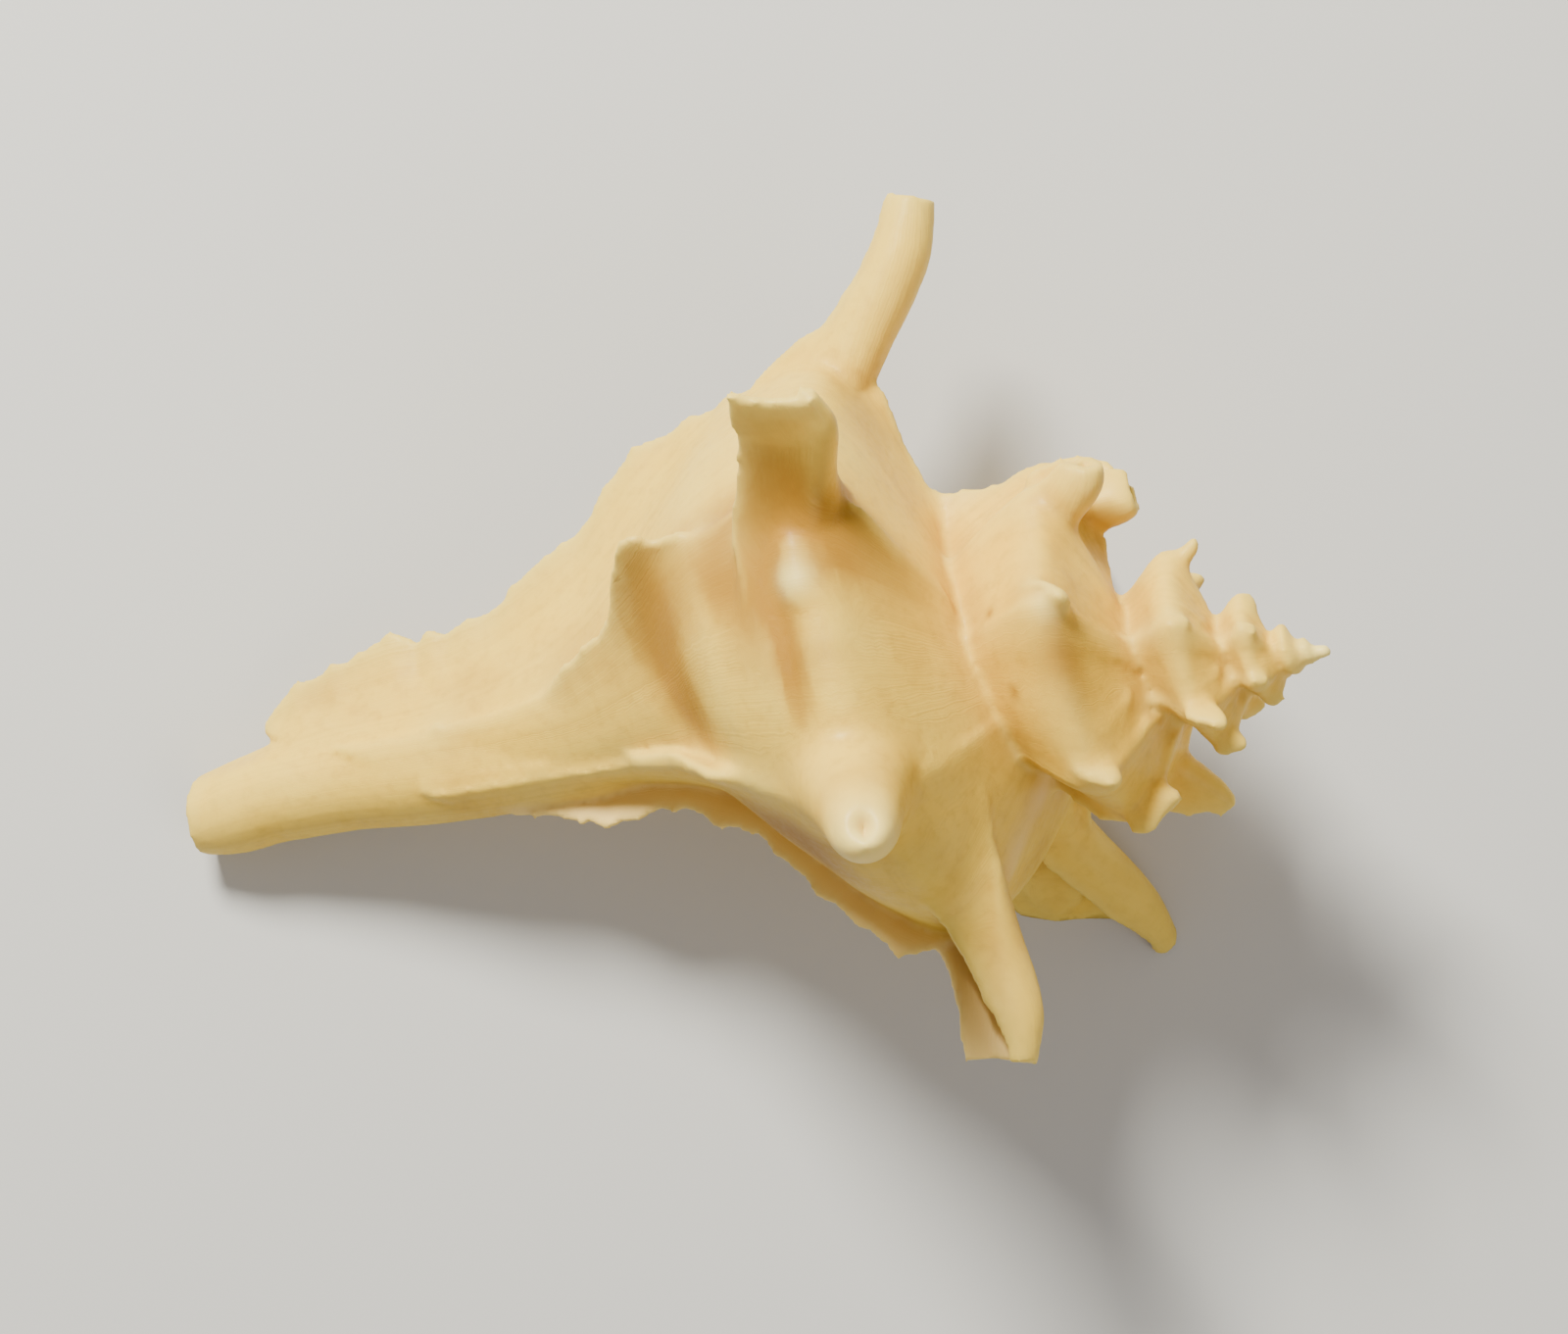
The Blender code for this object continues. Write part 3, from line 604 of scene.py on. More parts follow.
# How much higher or lower than the lip's edge, at the places of LIFT_S
LIFTS = {
    0: [0, 0, 0, 0, 0, 0, 0, 0],
    -55: [-1.5, 0, -1.5, -1.4, 0.8, -2.6, -4.2, -4.4],
    -116: [-3, -1.5, -0.7, -2.3, -2.5, -3.4, -4.2, -4.4],
    -171: [-3, 1, 3, 0, -2, -1.8, -1.4, -1.3],
    -234: [0, 13, 16.5, 7, 0, -2, -2, -2],
    -300: [0, 0, 1, 0, -2, -2, -2, -2],
    -358: [3, 4.2, 2.4, 3.4, 4.2, 0, 0, 0],
    -384: [-2, 0, -1.6, -3.2, -3.5, 0, 0, 0],
    -432: [-3, -2, -3.5, -5, -5, 0, 0, 0],
    -498: [0, 0, -3, -4.5, -5, 0, 0, 0],
    -541: [0, 2.5, 3.2, 0, -2, 0, 0, 0],
    -581: [0, 2, 2, 0, -2, 0, 0, 0],
    -728: [0, -3, -4.5, -4, -3, 0, 0, 0],
}
OLDER_LIFT = [0, 0, -1.5, -3, -3, 0, 0, 0]
HORN_TURN = -116
for turn, tip_s, tip_r, reach, *shape in VARICES:
    add_blade(turn, reach, LIFTS.get(turn, OLDER_LIFT))
    if turn != HORN_TURN:
        add_spine(turn, tip_s, tip_r, *shape)
print(len(VARICES), "blades and spines,", sheets["count"], "points")

# %% The worn third spine
HORN_FOOT = (33.2, 16.5)  # distance along the axis and radius at the lip's size
HORN_TIP = np.array([7.7, -13.6, 41.0])
HORN_ROWS, TIP_RADIUS, ROOT_EXTRA, ROUND_FROM, ROUND_OVER = 26, 2.15, 2.2, 0.72, 0.28

up_horn = np.linspace(0, 1, HORN_ROWS)[:, None]
horn_size = growth(HORN_TURN)
foot = place(HORN_FOOT[0] * horn_size, HORN_FOOT[1] * horn_size, LIP_ANGLE + HORN_TURN)
middle_line = foot + (HORN_TIP - foot) * up_horn
horn_radius = TIP_RADIUS + ROOT_EXTRA * (1 - up_horn) ** 2
rounding = smooth((up_horn - ROUND_FROM) / ROUND_OVER)
horn_radius = horn_radius * np.sqrt(1 - rounding**2 * 0.995)
direction = (HORN_TIP - foot) / np.linalg.norm(HORN_TIP - foot)
across = np.cross(direction, [0.0, 1.0, 0.0])
across /= np.linalg.norm(across)
round_about = np.linspace(0, 2 * np.pi, 40, endpoint=False)[None, :, None]
ring = across * np.cos(round_about) + np.cross(direction, across) * np.sin(round_about)
horn = middle_line[:, None, :] + horn_radius[:, :, None] * ring
add_lathe(horn, np.full(HORN_ROWS, HORN_TURN))
print("horn", round(float(np.linalg.norm(HORN_TIP - foot)), 1), "mm long from its foot")

# %% [markdown]
# ## One skin
#
# The sheets cross each other, but a shell is one piece. The voxel Remesh modifier melts them into
# one closed skin, as if they were dipped. A Boolean union would keep every crossing sharp and is
# slow with so many pieces. Smooth takes off the small steps, and Decimate keeps the count in
# bounds. Three tips are worn flat where the shell rests on the table: a bisecting plane cuts them
# off and the holes are filled. The melt also leaves a few crumbs that touch nothing, so only the
# largest piece is kept.

# %% Melt the sheets into one closed shell
VOXEL = 0.27
TRIANGLES = 190000

raw = bpy.data.meshes.new("shell_sheets")
raw.from_pydata((np.vstack(sheets["points"]) * MM).tolist(), [], sheets["faces"])
shell = bpy.data.objects.new("shell_visual", raw)
bpy.context.scene.collection.objects.link(shell)
melt = shell.modifiers.new("Melt", "REMESH")
melt.mode = "VOXEL"
melt.voxel_size = VOXEL * MM
soften = shell.modifiers.new("Soften", "SMOOTH")
soften.factor = 0.5
soften.iterations = 5
fused = shell.evaluated_get(bpy.context.evaluated_depsgraph_get()).to_mesh()
fused.calc_loop_triangles()
many = len(fused.loop_triangles)
thin = shell.modifiers.new("Thin out", "DECIMATE")
thin.ratio = min(1.0, TRIANGLES / many)
skin = bpy.data.meshes.new_from_object(shell.evaluated_get(bpy.context.evaluated_depsgraph_get()))
shell.modifiers.clear()
shell.data = skin
skin.name = "shell_visual"
print(many, "triangles melted, thinned to", len(skin.polygons), "faces")

# %% Cut the worn tips flat
GROUND = 0.00002  # metres, a hair above the table

cut = bmesh.new()
cut.from_mesh(skin)
everything = cut.verts[:] + cut.edges[:] + cut.faces[:]
table, upwards = Vector((0, 0, GROUND)), Vector((0, 0, 1))
bmesh.ops.bisect_plane(cut, geom=everything, plane_co=table, plane_no=upwards, clear_inner=True)
bmesh.ops.holes_fill(cut, edges=[e for e in cut.edges if e.is_boundary], sides=0)
print("open edges after the cut:", sum(e.is_boundary for e in cut.edges))


# %% Keep the largest piece
def islands_of(mesh):
    """Lists of vertices that hang together, smallest first."""
    loose, islands = set(mesh.verts), []
    while loose:
        island, waiting = [], [loose.pop()]
        while waiting:
            vert = waiting.pop()
            island.append(vert)
            fresh = [e.other_vert(vert) for e in vert.link_edges if e.other_vert(vert) in loose]
            loose.difference_update(fresh)
            waiting += fresh
        islands.append(island)
    return sorted(islands, key=len)


crumbs = islands_of(cut)[:-1]
for crumb in crumbs:
    bmesh.ops.delete(cut, geom=crumb, context="VERTS")
cut.to_mesh(skin)
cut.free()
print("crumbs of the melt taken away:", len(crumbs))

# %% [markdown]
# ## What each point of the skin knows
#
# Colour follows form on this shell: rims are pale and old whorls are darker. The lee of the blades
# gets orange and brown as painted shade, the hollows too, with some of the shell's own warmer tone
# there, and ridges get a paler cream as painted highlight. For each point of the skin we look up
# the nearest points of the sheets that it grew from, and store the answers as named attributes that
# the material can read. Vertex paint could hold the same marks, but has to be done again after each
# change of form.

# %% Read the skin
count = len(skin.vertices)
co = np.empty(count * 3, np.float32)
skin.vertices.foreach_get("co", co)
co = co.reshape(-1, 3).astype(float) / MM
ends = np.empty(len(skin.edges) * 2, np.int32)
skin.edges.foreach_get("vertices", ends)
ends = ends.reshape(-1, 2)
neighbours = np.bincount(ends.ravel(), minlength=count).astype(float)


def spread(values, rounds):
    """Each point takes the mean of itself and its neighbours, this many times."""
    values = np.asarray(values, float)
    flat = values.reshape(count, -1)
    one, two = ends.T
    for _ in range(rounds):
        total = [np.bincount(one, c[two], count) + np.bincount(two, c[one], count) for c in flat.T]
        flat = (flat + np.transpose(total)) / (1 + neighbours)[:, None]
    return flat.reshape(values.shape)


def normals_of(mesh):
    out = np.empty(count * 3, np.float32)
    mesh.vertex_normals.foreach_get("vector", out)
    return out.reshape(-1, 3).astype(float)


print(count, "points,", len(ends), "edges")


# %% Look up the growth lines
def tree_of(points):
    made = KDTree(len(points))
    for i, p in enumerate(points):
        made.insert(p, i)
    made.balance()
    return made


facing = normals_of(skin)
line_of = np.concatenate(grown["line"])
turn_of = np.concatenate(grown["turn"])
wall_of = np.concatenate(grown["wall"])
lookup = tree_of(np.vstack(grown["points"]))
nearest = np.zeros(count, int)
line = np.zeros(count)
for i, p in enumerate(co):
    found = lookup.find_n(p, 3)
    weight = [1.0 / (0.05 + hit[2]) ** 2 for hit in found]
    nearest[i] = found[0][1]
    line[i] = sum(w * line_of[hit[1]] for w, hit in zip(weight, found)) / sum(weight)
turn = turn_of[nearest]
print("growth lines from", round(line.min()), "to", round(line.max()), "degrees")

# %% Distance from the free edges
edge_size = np.concatenate(free_edges["size"])
edge_tree = tree_of(np.vstack(free_edges["points"]))
rim = np.zeros(count)
for i, p in enumerate(co):
    _, k, far = edge_tree.find(p)
    rim[i] = np.exp(-max(far - 0.35, 0.0) / (1.1 * edge_size[k]))
rim = spread(rim, 2)
print("share of the skin near a free edge:", round(float((rim > 0.5).mean()), 3))

# %% [markdown]
# ## Where each point lies
#
# To treat the inside and the outside apart, we place each point of the skin on its whorl: how far
# along the outline it is, and how far above the whorl it stands. `inside` marks the glazed wall
# behind the mouth. `pearl` marks the paler front of the fourth blade, which shows past its spine.

# %% Place on the whorl, inside and pearly front
wall_here = wall_of[nearest]
along_here = (APEX - co) @ AXIS
radial = co - (APEX - along_here[:, None] * AXIS)
radius_here = np.linalg.norm(radial, axis=1)
above = radius_here - whorl_radius(np.maximum(along_here, 0.1), turn)
share = along_here / growth(turn)
radial /= np.maximum(radius_here[:, None], 1e-6)

outward = np.einsum("ij,ij->i", facing, radial)
inward = (outward < -0.1) & (wall_here == OUTER_WALL) & (above < -0.6)
inside = spread((inward | (wall_here == INNER_LIP)).astype(float), 4)
ahead = np.einsum("ij,ij->i", facing, np.cross(radial, AXIS))
fourth_blade = np.abs(turn + 175.0) < 24.0
pearl = (wall_here == BLADE_SHEET) & (ahead > 0.15) & (above > 0.5) & fourth_blade
pearl = spread(pearl.astype(float), 5)
print("share inside:", round(float(inside.mean()), 3), "pearly:", round(float(pearl.mean()), 3))

# %% [markdown]
# ## Wear and growth lines
#
# The third ridge and the second whorl are worn, so their points move towards the mean of their
# neighbours. The blunt third spine has a small dent in its end. Fine growth lines run along every
# rest of the lip. The coarse ones are raised a few hundredths of a millimetre in the mesh here,
# so that they also shape the highlights. The finest ones are left to a bump in the material.
# Inside the mouth the shell is glazed smooth, so they fade out.

# %% Wear down the third ridge and the second whorl
WORN = [(-116, 12, 1.0), (-450, 90, 0.8), (-750, 200, 0.5)]  # turning angle, reach, how much
HORN_SOFT = 4.5
worn = sum(much * np.exp(-(((turn - at) / wide) ** 4)) for at, wide, much in WORN)
blunt = np.exp(-((np.linalg.norm(co - HORN_TIP, axis=1) / HORN_SOFT) ** 4))
worn = spread(np.maximum(worn * (share > 26.0) * (share < 47.0) * (1 - inside), blunt), 6)
co = co + (spread(co, 14) - co) * worn[:, None]
co = co + (spread(co, 40) - co) * spread(blunt, 6)[:, None]
print("worn share of the skin:", round(float((worn > 0.3).mean()), 3))

# %% Raise the coarse growth lines and press the dent
LINE_HEIGHT = 0.022
DENT_AT, DENT_SIZE, DENT_DEPTH = (7.4, -11.6, 40.3), 1.0, 1.6
relief = ripple(line / 3.1, 1.0) * 0.6 + ripple(line / 1.3, 2.0) * 0.4
relief = relief * LINE_HEIGHT * (1 - inside) * growth(np.minimum(turn, 0.0)) ** 0.5
from_dent = np.linalg.norm(co - np.array(DENT_AT), axis=1)
dent = DENT_DEPTH * np.exp(-((from_dent / DENT_SIZE) ** 2))
co = co + facing * (relief - dent)[:, None]
co[:, 2] = np.maximum(co[:, 2], GROUND / MM)
skin.vertices.foreach_set("co", (co * MM).astype(np.float32).ravel())
skin.update()
facing = normals_of(skin)
print("relief up to", round(float(np.abs(relief).max()), 3), "mm")

# %% [markdown]
# ## Ridges, brown bands and hollows
#
# To find ridges, we compare each point with a smoothed copy of the skin: on a ridge the skin
# stands above its own average, and gets a paler cream as painted highlight. The brown bands are
# painted shade in the lee of the blades, and are given by place like the low folds. To find
# hollows, we send rays from each point, and count how many meet the shell again close by; the
# hollows get tan and orange as painted shade, with some of the shell's own warmer tone. This could
# be an Ambient Occlusion node, but that node reads other objects too and changes when the floor
# moves. A stored attribute stays put.

# %% Measure ridges, which get a paler cream as painted highlight
near_form = spread(co, 24)
ridge = np.einsum("ij,ij->i", co - near_form, facing)
ridge = np.clip(spread(ridge, 2) / 0.16, -1, 1)
print("share of the skin on a ridge:", round(float((ridge > 0.3).mean()), 3))

# %% Brown bands of painted shade beside the blades
# Place on the outline, breadth, strength, turning angle of the middle, reach in degrees
BROWN = [
    (45, 2.1, 1, -80, 34),
    (34.4, 1.2, 0.7, -90, 17),
    (38, 6, 0.6, -60, 14),
    (36.9, 1.6, 0.5, -76, 14),
    (30.5, 4.5, 0.85, -62, 12),
    (30.6, 2.2, 0.7, -452, 26),
    (40, 3, 0.5, -150, 22),
    (31, 3, 0.4, -150, 18),
    (35.3, 4.6, 0.34, -77, 19),
]
brown = np.zeros(count)
for at, wide, strength, middle_turn, reach in BROWN:
    brown += strength * patch_at(share, turn, at, wide, middle_turn, reach)
off_the_blades = np.exp(-((above / 7.0) ** 2))
brown = spread(np.clip(brown, 0, 1) * off_the_blades * (1 - inside), 6)
print("share of the skin in a brown band:", round(float((brown > 0.3).mean()), 3))

# %% Measure hollows, which get painted shade
RAYS, REACH, LIFT_OFF = 14, 9.0, 0.12

skin.calc_loop_triangles()
triangles = np.empty(len(skin.loop_triangles) * 3, np.int32)
skin.loop_triangles.foreach_get("vertices", triangles)
surface = BVHTree.FromPolygons(co.tolist(), triangles.reshape(-1, 3).tolist())
golden = np.pi * (3 - np.sqrt(5))
helper = np.where(np.abs(facing[:, :1]) > 0.8, [[0.0, 1.0, 0.0]], [[1.0, 0.0, 0.0]])
tangent = np.cross(facing, helper)
tangent /= np.linalg.norm(tangent, axis=1, keepdims=True)
other = np.cross(facing, tangent)
start = co + facing * LIFT_OFF
hollow = np.zeros(count)
for k in range(RAYS):
    rise = np.sqrt(1 - (k + 0.5) / RAYS)
    flat = np.sqrt(1 - rise * rise)
    x, y = np.cos(golden * k) * flat, np.sin(golden * k) * flat
    way = tangent * x + other * y + facing * rise
    for i in range(count):
        hit = surface.ray_cast(start[i], way[i], REACH)
        if hit[0] is not None:
            hollow[i] += (1 - hit[3] / REACH) ** 0.5
hollow = spread(hollow / RAYS, 3)
hollow = hollow * (1 - 0.8 * pearl)
print("share of the skin in a hollow:", round(float((hollow > 0.3).mean()), 3))

# %% [markdown]
# ## Marks of this one shell
#
# Some marks belong to places, not to form: chalky tips where the glaze has worn off, darker
# spots and specks of dirt. Others are painted light: painted highlights on the top of the second
# spine and on a small knob beside it, and an orange band of painted shade below the ridge of the
# third blade. Each spot is a soft ball at a point of the shell, given by its place in millimetres
# from the middle of the footprint. Texture paint could do it too, but needs a picture file
# beside the scene.

# %% Chalky places and painted highlights, dark spots, specks and painted shade
# Place in mm, size in mm, strength
# Chalky wear and painted highlights: the first two light the top of the second spine, the fourth is
# a knob's highlight
CHALK_AND_HIGHLIGHTS = [
    ((-0.6, 12.8, 39.4), 2.4, 1),
    ((3.6, 12.9, 39.4), 2.4, 1),
    ((7.7, -13.4, 39.6), 3, 0.7),
    ((3.5, 2.4, 31.4), 1, 1),
    ((36.4, -1.5, 24.4), 2, 1),
    ((18.8, 0.9, 29.6), 1, 0.6),
]
# Darker spots; the last two are specks of dirt
DARK_SPOTS = [
    ((19.5, -2.3, 29.2), 1.8, 0.7),
    ((5.2, -2, 31.8), 1.2, 0.4),
    ((2.6, 7.5, 33), 3, 0.4),
    ((16.8, -4.4, 26.7), 0.5, 1),
    ((15.4, 0.4, 26.1), 0.4, 1),
]


def soft_balls(places):
    total = np.zeros(count)
    for centre, size, strength in places:
        far = np.linalg.norm(co - np.array(centre), axis=1)
        total = np.maximum(total, strength * np.exp(-((far / size) ** 2)))
    return total


chalk = soft_balls(CHALK_AND_HIGHLIGHTS)
# An orange band of painted shade on the whorl in the lee of the third blade, joined to the spots
in_band = np.exp(-(((share - 41.0) / 5.5) ** 4) - ((turn + 138.0) / 15.0) ** 4)
on_whorl = np.exp(-((above / 2.5) ** 2))
stain = np.maximum(soft_balls(DARK_SPOTS), spread(in_band * on_whorl, 5))
age = spread(smooth((-320.0 - turn) / 60.0), 6)
print(len(CHALK_AND_HIGHLIGHTS), "chalky places,", len(DARK_SPOTS), "stains and a band behind the third blade")

# %% Store everything as attributes
attributes = dict(growth_line=line, rim=rim, ridge=ridge, brown=brown, hollow=hollow)
attributes.update(inside=inside, pearl=pearl, age=age, chalk=chalk, stain=stain)
for name, values in attributes.items():
    layer = skin.attributes.new(name, "FLOAT", "POINT")
    layer.data.foreach_set("value", values.astype(np.float32))
skin.polygons.foreach_set("use_smooth", np.ones(len(skin.polygons), bool))
skin.update()
print("stored", ", ".join(attributes))

# %% [markdown]
# ## Shader node groups
#
# A node group is a small machine with named inputs and outputs. We build one for growth lines and
# one for the mottle of the shell, and place them in the material with their own values. They
# give masks and heights only. The Principled shader stays in the material itself.

# %% Helpers for node trees
def node(tree, kind, **settings):
    made = tree.nodes.new(kind)
    for key, value in settings.items():
        setattr(made, key, value)
    return made


def feed(tree, sockets, values):
    """Link each socket to its value, or set it where the value is a plain number or colour."""
    for socket, value in zip(sockets, values):
        if isinstance(value, bpy.types.NodeSocket):
            tree.links.new(value, socket)
        else:
            socket.default_value = value


def maths(tree, operation, a, b):
    made = node(tree, "ShaderNodeMath", operation=operation)
    feed(tree, made.inputs, (a, b))
    return made.outputs[0]


def blend_colour(tree, amount, a, b):
    made = node(tree, "ShaderNodeMix", data_type="RGBA")
    feed(tree, [made.inputs[k] for k in (0, 6, 7)], (amount, a, b))
    return made.outputs[2]


def ease_range(tree, value, low, high, to_low, to_high):
    made = node(tree, "ShaderNodeMapRange", interpolation_type="SMOOTHSTEP")
    feed(tree, made.inputs, (value, low, high, to_low, to_high))
    return made.outputs["Result"]


def attribute(tree, name):
    return node(tree, "ShaderNodeAttribute", attribute_name=name).outputs["Fac"]


def new_group(name, inputs, outputs):
    group = bpy.data.node_groups.new(name, "ShaderNodeTree")
    for label, default in inputs:
        socket = group.interface.new_socket(label, in_out="INPUT", socket_type="NodeSocketFloat")
        socket.default_value = default
    for label in outputs:
        group.interface.new_socket(label, in_out="OUTPUT", socket_type="NodeSocketFloat")
    return group, node(group, "NodeGroupInput"), node(group, "NodeGroupOutput")


print("seven helpers for node trees")

# %% Group: growth lines
lines_group, given, result = new_group(
    "Growth lines", [("Line", 0.0), ("Fine", 1.4), ("Broad", 0.16)], ["Height", "Band"]
)
for label, detail, out in (("Fine", 3.0, "Height"), ("Broad", 2.0, "Band")):
    noise = node(lines_group, "ShaderNodeTexNoise", noise_dimensions="1D")
    noise.inputs["Scale"].default_value = 1.0
    noise.inputs["Detail"].default_value = detail
    scaled = maths(lines_group, "MULTIPLY", given.outputs["Line"], given.outputs[label])
    lines_group.links.new(scaled, noise.inputs["W"])
    lines_group.links.new(noise.outputs["Fac"], result.inputs[out])
print("group", lines_group.name)

# %% Group: mottle
GRAIN_FINER = 14.0

mottle_group, given, result = new_group(
    "Mottle", [("Size", 300.0), ("Detail", 4.0)], ["Cloud", "Grain"]
)
where = node(mottle_group, "ShaderNodeTexCoord").outputs["Object"]
cloud = node(mottle_group, "ShaderNodeTexNoise")
grain = node(mottle_group, "ShaderNodeTexNoise")
for noise, factor in ((cloud, 1.0), (grain, GRAIN_FINER)):
    scale = maths(mottle_group, "MULTIPLY", given.outputs["Size"], factor)
    mottle_group.links.new(where, noise.inputs["Vector"])
    mottle_group.links.new(scale, noise.inputs["Scale"])
    mottle_group.links.new(given.outputs["Detail"], noise.inputs["Detail"])
mottle_group.links.new(cloud.outputs["Fac"], result.inputs["Cloud"])
mottle_group.links.new(grain.outputs["Fac"], result.inputs["Grain"])
print("group", mottle_group.name)

# %% [markdown]
# ## The finish of the shell
#
# Fresh shell is cream. We lay thin layers of other tints over it, one after the other: tan in soft
# patches; tan as painted shade in the brown bands and in the hollows, and orange as deeper painted
# shade where they are deepest; a paler cream as painted highlight on ridges, and on rims. Each
# layer has its own mask, the place where it starts, the place where it is full, and its strength.
# A single colour ramp would be shorter, but the layers can be tuned one by one.

# %% Tints, as linear colours
# TAN and ORANGE also serve as painted shade, PALE and WHITE also as painted highlight
CREAM = (0.86, 0.555, 0.060, 1.0)
OLD = (0.86, 0.52, 0.045, 1.0)
PALE = (0.88, 0.63, 0.11, 1.0)
TAN = (0.42, 0.205, 0.016, 1.0)
ORANGE = (0.34, 0.142, 0.008, 1.0)
RIM = (0.80, 0.59, 0.13, 1.0)
GLAZE = (0.70, 0.45, 0.13, 1.0)
PEARL = (0.84, 0.58, 0.20, 1.0)
WHITE = (0.93, 0.77, 0.27, 1.0)
print("nine tints from", ORANGE[:3], "to", WHITE[:3])

# %% Masks of the shell material
shell_look = bpy.data.materials.new("cream_shell")
shell_look.use_nodes = True
tree = shell_look.node_tree
principled = tree.nodes["Principled BSDF"]
lines = node(tree, "ShaderNodeGroup", node_tree=lines_group)
tree.links.new(attribute(tree, "growth_line"), lines.inputs["Line"])
mottle = node(tree, "ShaderNodeGroup", node_tree=mottle_group)
mottle.inputs["Size"].default_value = 160.0
patch = node(tree, "ShaderNodeGroup", node_tree=mottle_group)
patch.inputs["Size"].default_value = 90.0
patch.inputs["Detail"].default_value = 6.0
print("masks from", lines.node_tree.name, "and", mottle.node_tree.name)

# %% Layers of tint
hollow_mask = attribute(tree, "hollow")
# Mask, where the layer starts, where it is full, its strength, its tint
LAYERS = [
    (mottle.outputs["Cloud"], 0.35, 0.7, 0.4, PALE),
    (lines.outputs["Band"], 0.4, 0.7, 0.12, TAN),
    (patch.outputs["Cloud"], 0.48, 0.72, 0.5, TAN),
    (patch.outputs["Grain"], 0.45, 0.75, 0.22, TAN),
    # Painted shade: the brown bands and the hollows
    (attribute(tree, "brown"), 0.0, 0.9, 1.0, TAN),
    (hollow_mask, 0.2, 0.6, 0.6, TAN),
    (hollow_mask, 0.50, 0.85, 0.7, ORANGE),
    # Painted highlight on the ridges
    (attribute(tree, "ridge"), 0.2, 1.0, 0.4, PALE),
]
# Marks that need no easing: attribute, strength, tint
MARKS = [
    # Painted shade of the band below the third blade, with dark spots and specks of dirt
    ("stain", 0.8, ORANGE),
    ("rim", 0.5, RIM),
    ("inside", 0.7, GLAZE),
    ("pearl", 0.85, PEARL),
    # Chalky wear, and painted highlights on the second spine's top and a knob
    ("chalk", 0.85, WHITE),
]
colour = blend_colour(tree, attribute(tree, "age"), CREAM, OLD)
for mask, low, high, strength, tint in LAYERS:
    colour = blend_colour(tree, ease_range(tree, mask, low, high, 0.0, strength), colour, tint)
for name, strength, tint in MARKS:
    amount = maths(tree, "MULTIPLY", attribute(tree, name), strength)
    colour = blend_colour(tree, amount, colour, tint)
tree.links.new(colour, principled.inputs["Base Color"])
print(1 + len(LAYERS) + len(MARKS), "layers of tint over the cream")

# %% [markdown]
# ## Satin surface
#
# The surface is satin, not glossy, so roughness stays near 0.5 and only wobbles with the grain.
# A bump carries the finest growth lines. Light goes a little way into shell, so the Principled
# shader gets some subsurface scattering with a warm radius. Its specular level is low, because
# the pale floor mirrored in a glossier shell would turn the steep slopes grey.

# %% Roughness, bump and depth
BUMP_HEIGHT = 0.0001  # metres

rough = ease_range(tree, mottle.outputs["Grain"], 0.3, 0.7, 0.42, 0.56)
tree.links.new(rough, principled.inputs["Roughness"])
fine_grain = maths(tree, "MULTIPLY", mottle.outputs["Grain"], 0.4)
height = maths(tree, "ADD", lines.outputs["Height"], fine_grain)
bump = node(tree, "ShaderNodeBump")
bump.inputs["Strength"].default_value = 0.25
bump.inputs["Distance"].default_value = BUMP_HEIGHT
tree.links.new(height, bump.inputs["Height"])
tree.links.new(bump.outputs["Normal"], principled.inputs["Normal"])
EVEN_VALUES = {
    "Metallic": 0.0,
    "Subsurface Weight": 0.12,
    "Subsurface Radius": (1.0, 0.70, 0.40),
    "Subsurface Scale": 0.0025,
    "Specular IOR Level": 0.22,
    "Coat Weight": 0.04,
    "Coat Roughness": 0.25,
}
for label, value in EVEN_VALUES.items():
    principled.inputs[label].default_value = value
print("material", shell_look.name, "with", len(tree.nodes), "nodes")

skin.materials.clear()
skin.materials.append(shell_look)
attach(shell, "root")
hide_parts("shell")
print("visual shell takes the place of the packed one")

# %% [markdown]
# ## Floor, light and camera
#
# A plain pale floor and a big soft lamp from the back left, as over a table by a window. A weaker
# lamp from the other side and a faint warm sky fill the shade. A sun lamp would give hard edges
# to the shadows, and the photograph has none. The camera looks straight down, with a long lens,
# so that near and far parts of the shell keep their proportions.

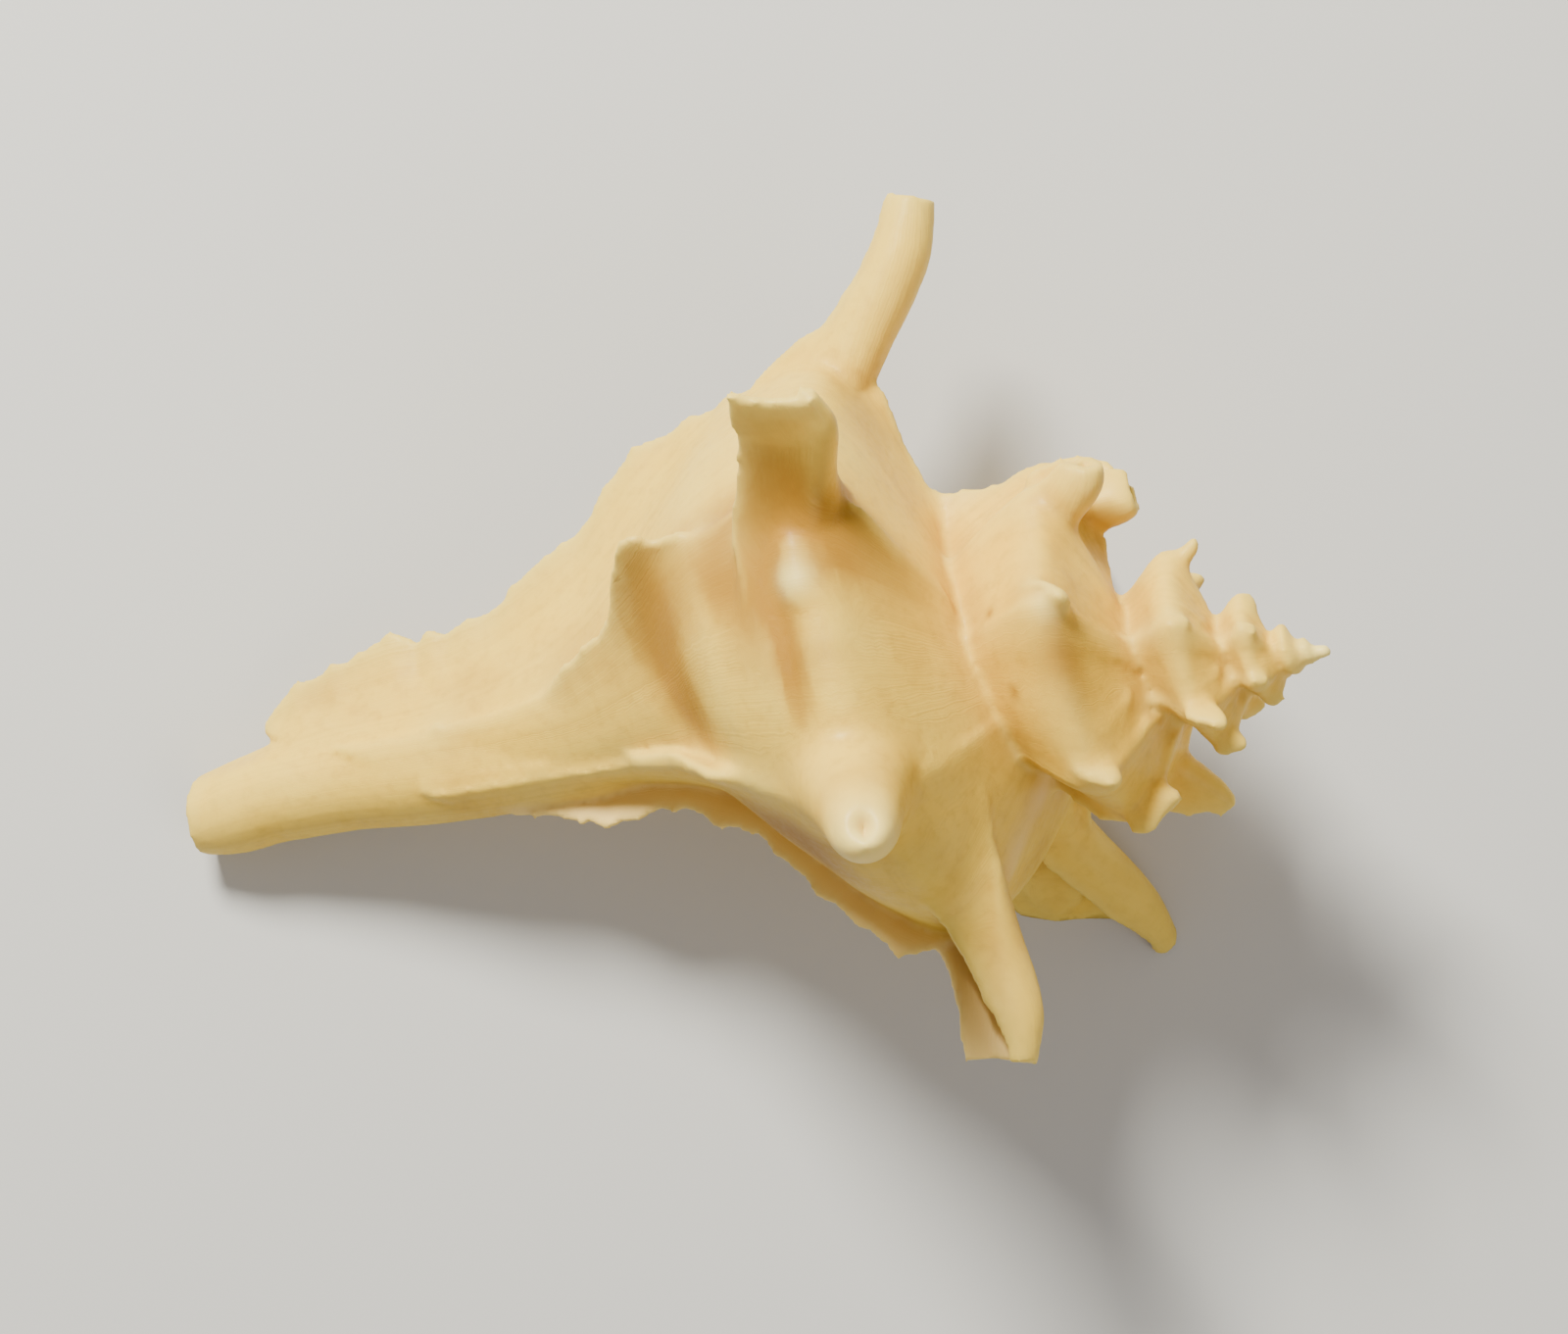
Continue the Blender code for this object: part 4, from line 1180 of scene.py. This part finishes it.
# %% Floor
FLOOR_SIDE = 3.0
floor_mesh = bpy.data.meshes.new("floor")
half = FLOOR_SIDE / 2
corners = [(-half, -half, 0), (half, -half, 0), (half, half, 0), (-half, half, 0)]
floor_mesh.from_pydata(corners, [], [(0, 1, 2, 3)])
floor = bpy.data.objects.new("floor", floor_mesh)
bpy.context.scene.collection.objects.link(floor)
paper = bpy.data.materials.new("pale_paper")
paper.use_nodes = True
paper_shader = paper.node_tree.nodes["Principled BSDF"]
paper_shader.inputs["Base Color"].default_value = (0.58, 0.58, 0.57, 1.0)
paper_shader.inputs["Roughness"].default_value = 0.85
floor_mesh.materials.append(paper)
print("floor of", FLOOR_SIDE, "by", FLOOR_SIDE, "m")

# %% Lamps and surrounding light
def lamp(name, place_at, look_at, side, power, colour):
    data = bpy.data.lights.new(name, "AREA")
    data.shape = "DISK"
    data.size = side
    data.energy = power
    data.color = colour
    made = bpy.data.objects.new(name, data)
    made.location = place_at
    aim = Vector(look_at) - Vector(place_at)
    made.rotation_euler = aim.to_track_quat("-Z", "Y").to_euler()
    bpy.context.scene.collection.objects.link(made)
    print("lamp", name, "of", power, "W")


middle = (0.0, 0.0, 0.015)
lamp("window", (-0.15, 0.30, 0.31), middle, 0.14, 5.8, (1.0, 0.97, 0.86))
lamp("fill", (0.25, -0.25, 0.30), middle, 0.30, 0.6, (1.0, 0.95, 0.90))
world = bpy.context.scene.world or bpy.data.worlds.new("world")
bpy.context.scene.world = world
world.use_nodes = True
sky = world.node_tree.nodes["Background"]
sky.inputs["Color"].default_value = (1.0, 0.965, 0.93, 1.0)
sky.inputs["Strength"].default_value = 0.32

# %% Camera
lens = bpy.data.cameras.new("camera")
lens.lens = 108.0
lens.sensor_width = 36.0
lens.clip_start = 0.01
camera = bpy.data.objects.new("camera", lens)
camera.matrix_world = Matrix.Translation((0.00285, -0.00289, 0.3132))
bpy.context.scene.collection.objects.link(camera)
bpy.context.scene.camera = camera
print("camera", round(camera.matrix_world.translation.z, 3), "m above the floor, lens", lens.lens)
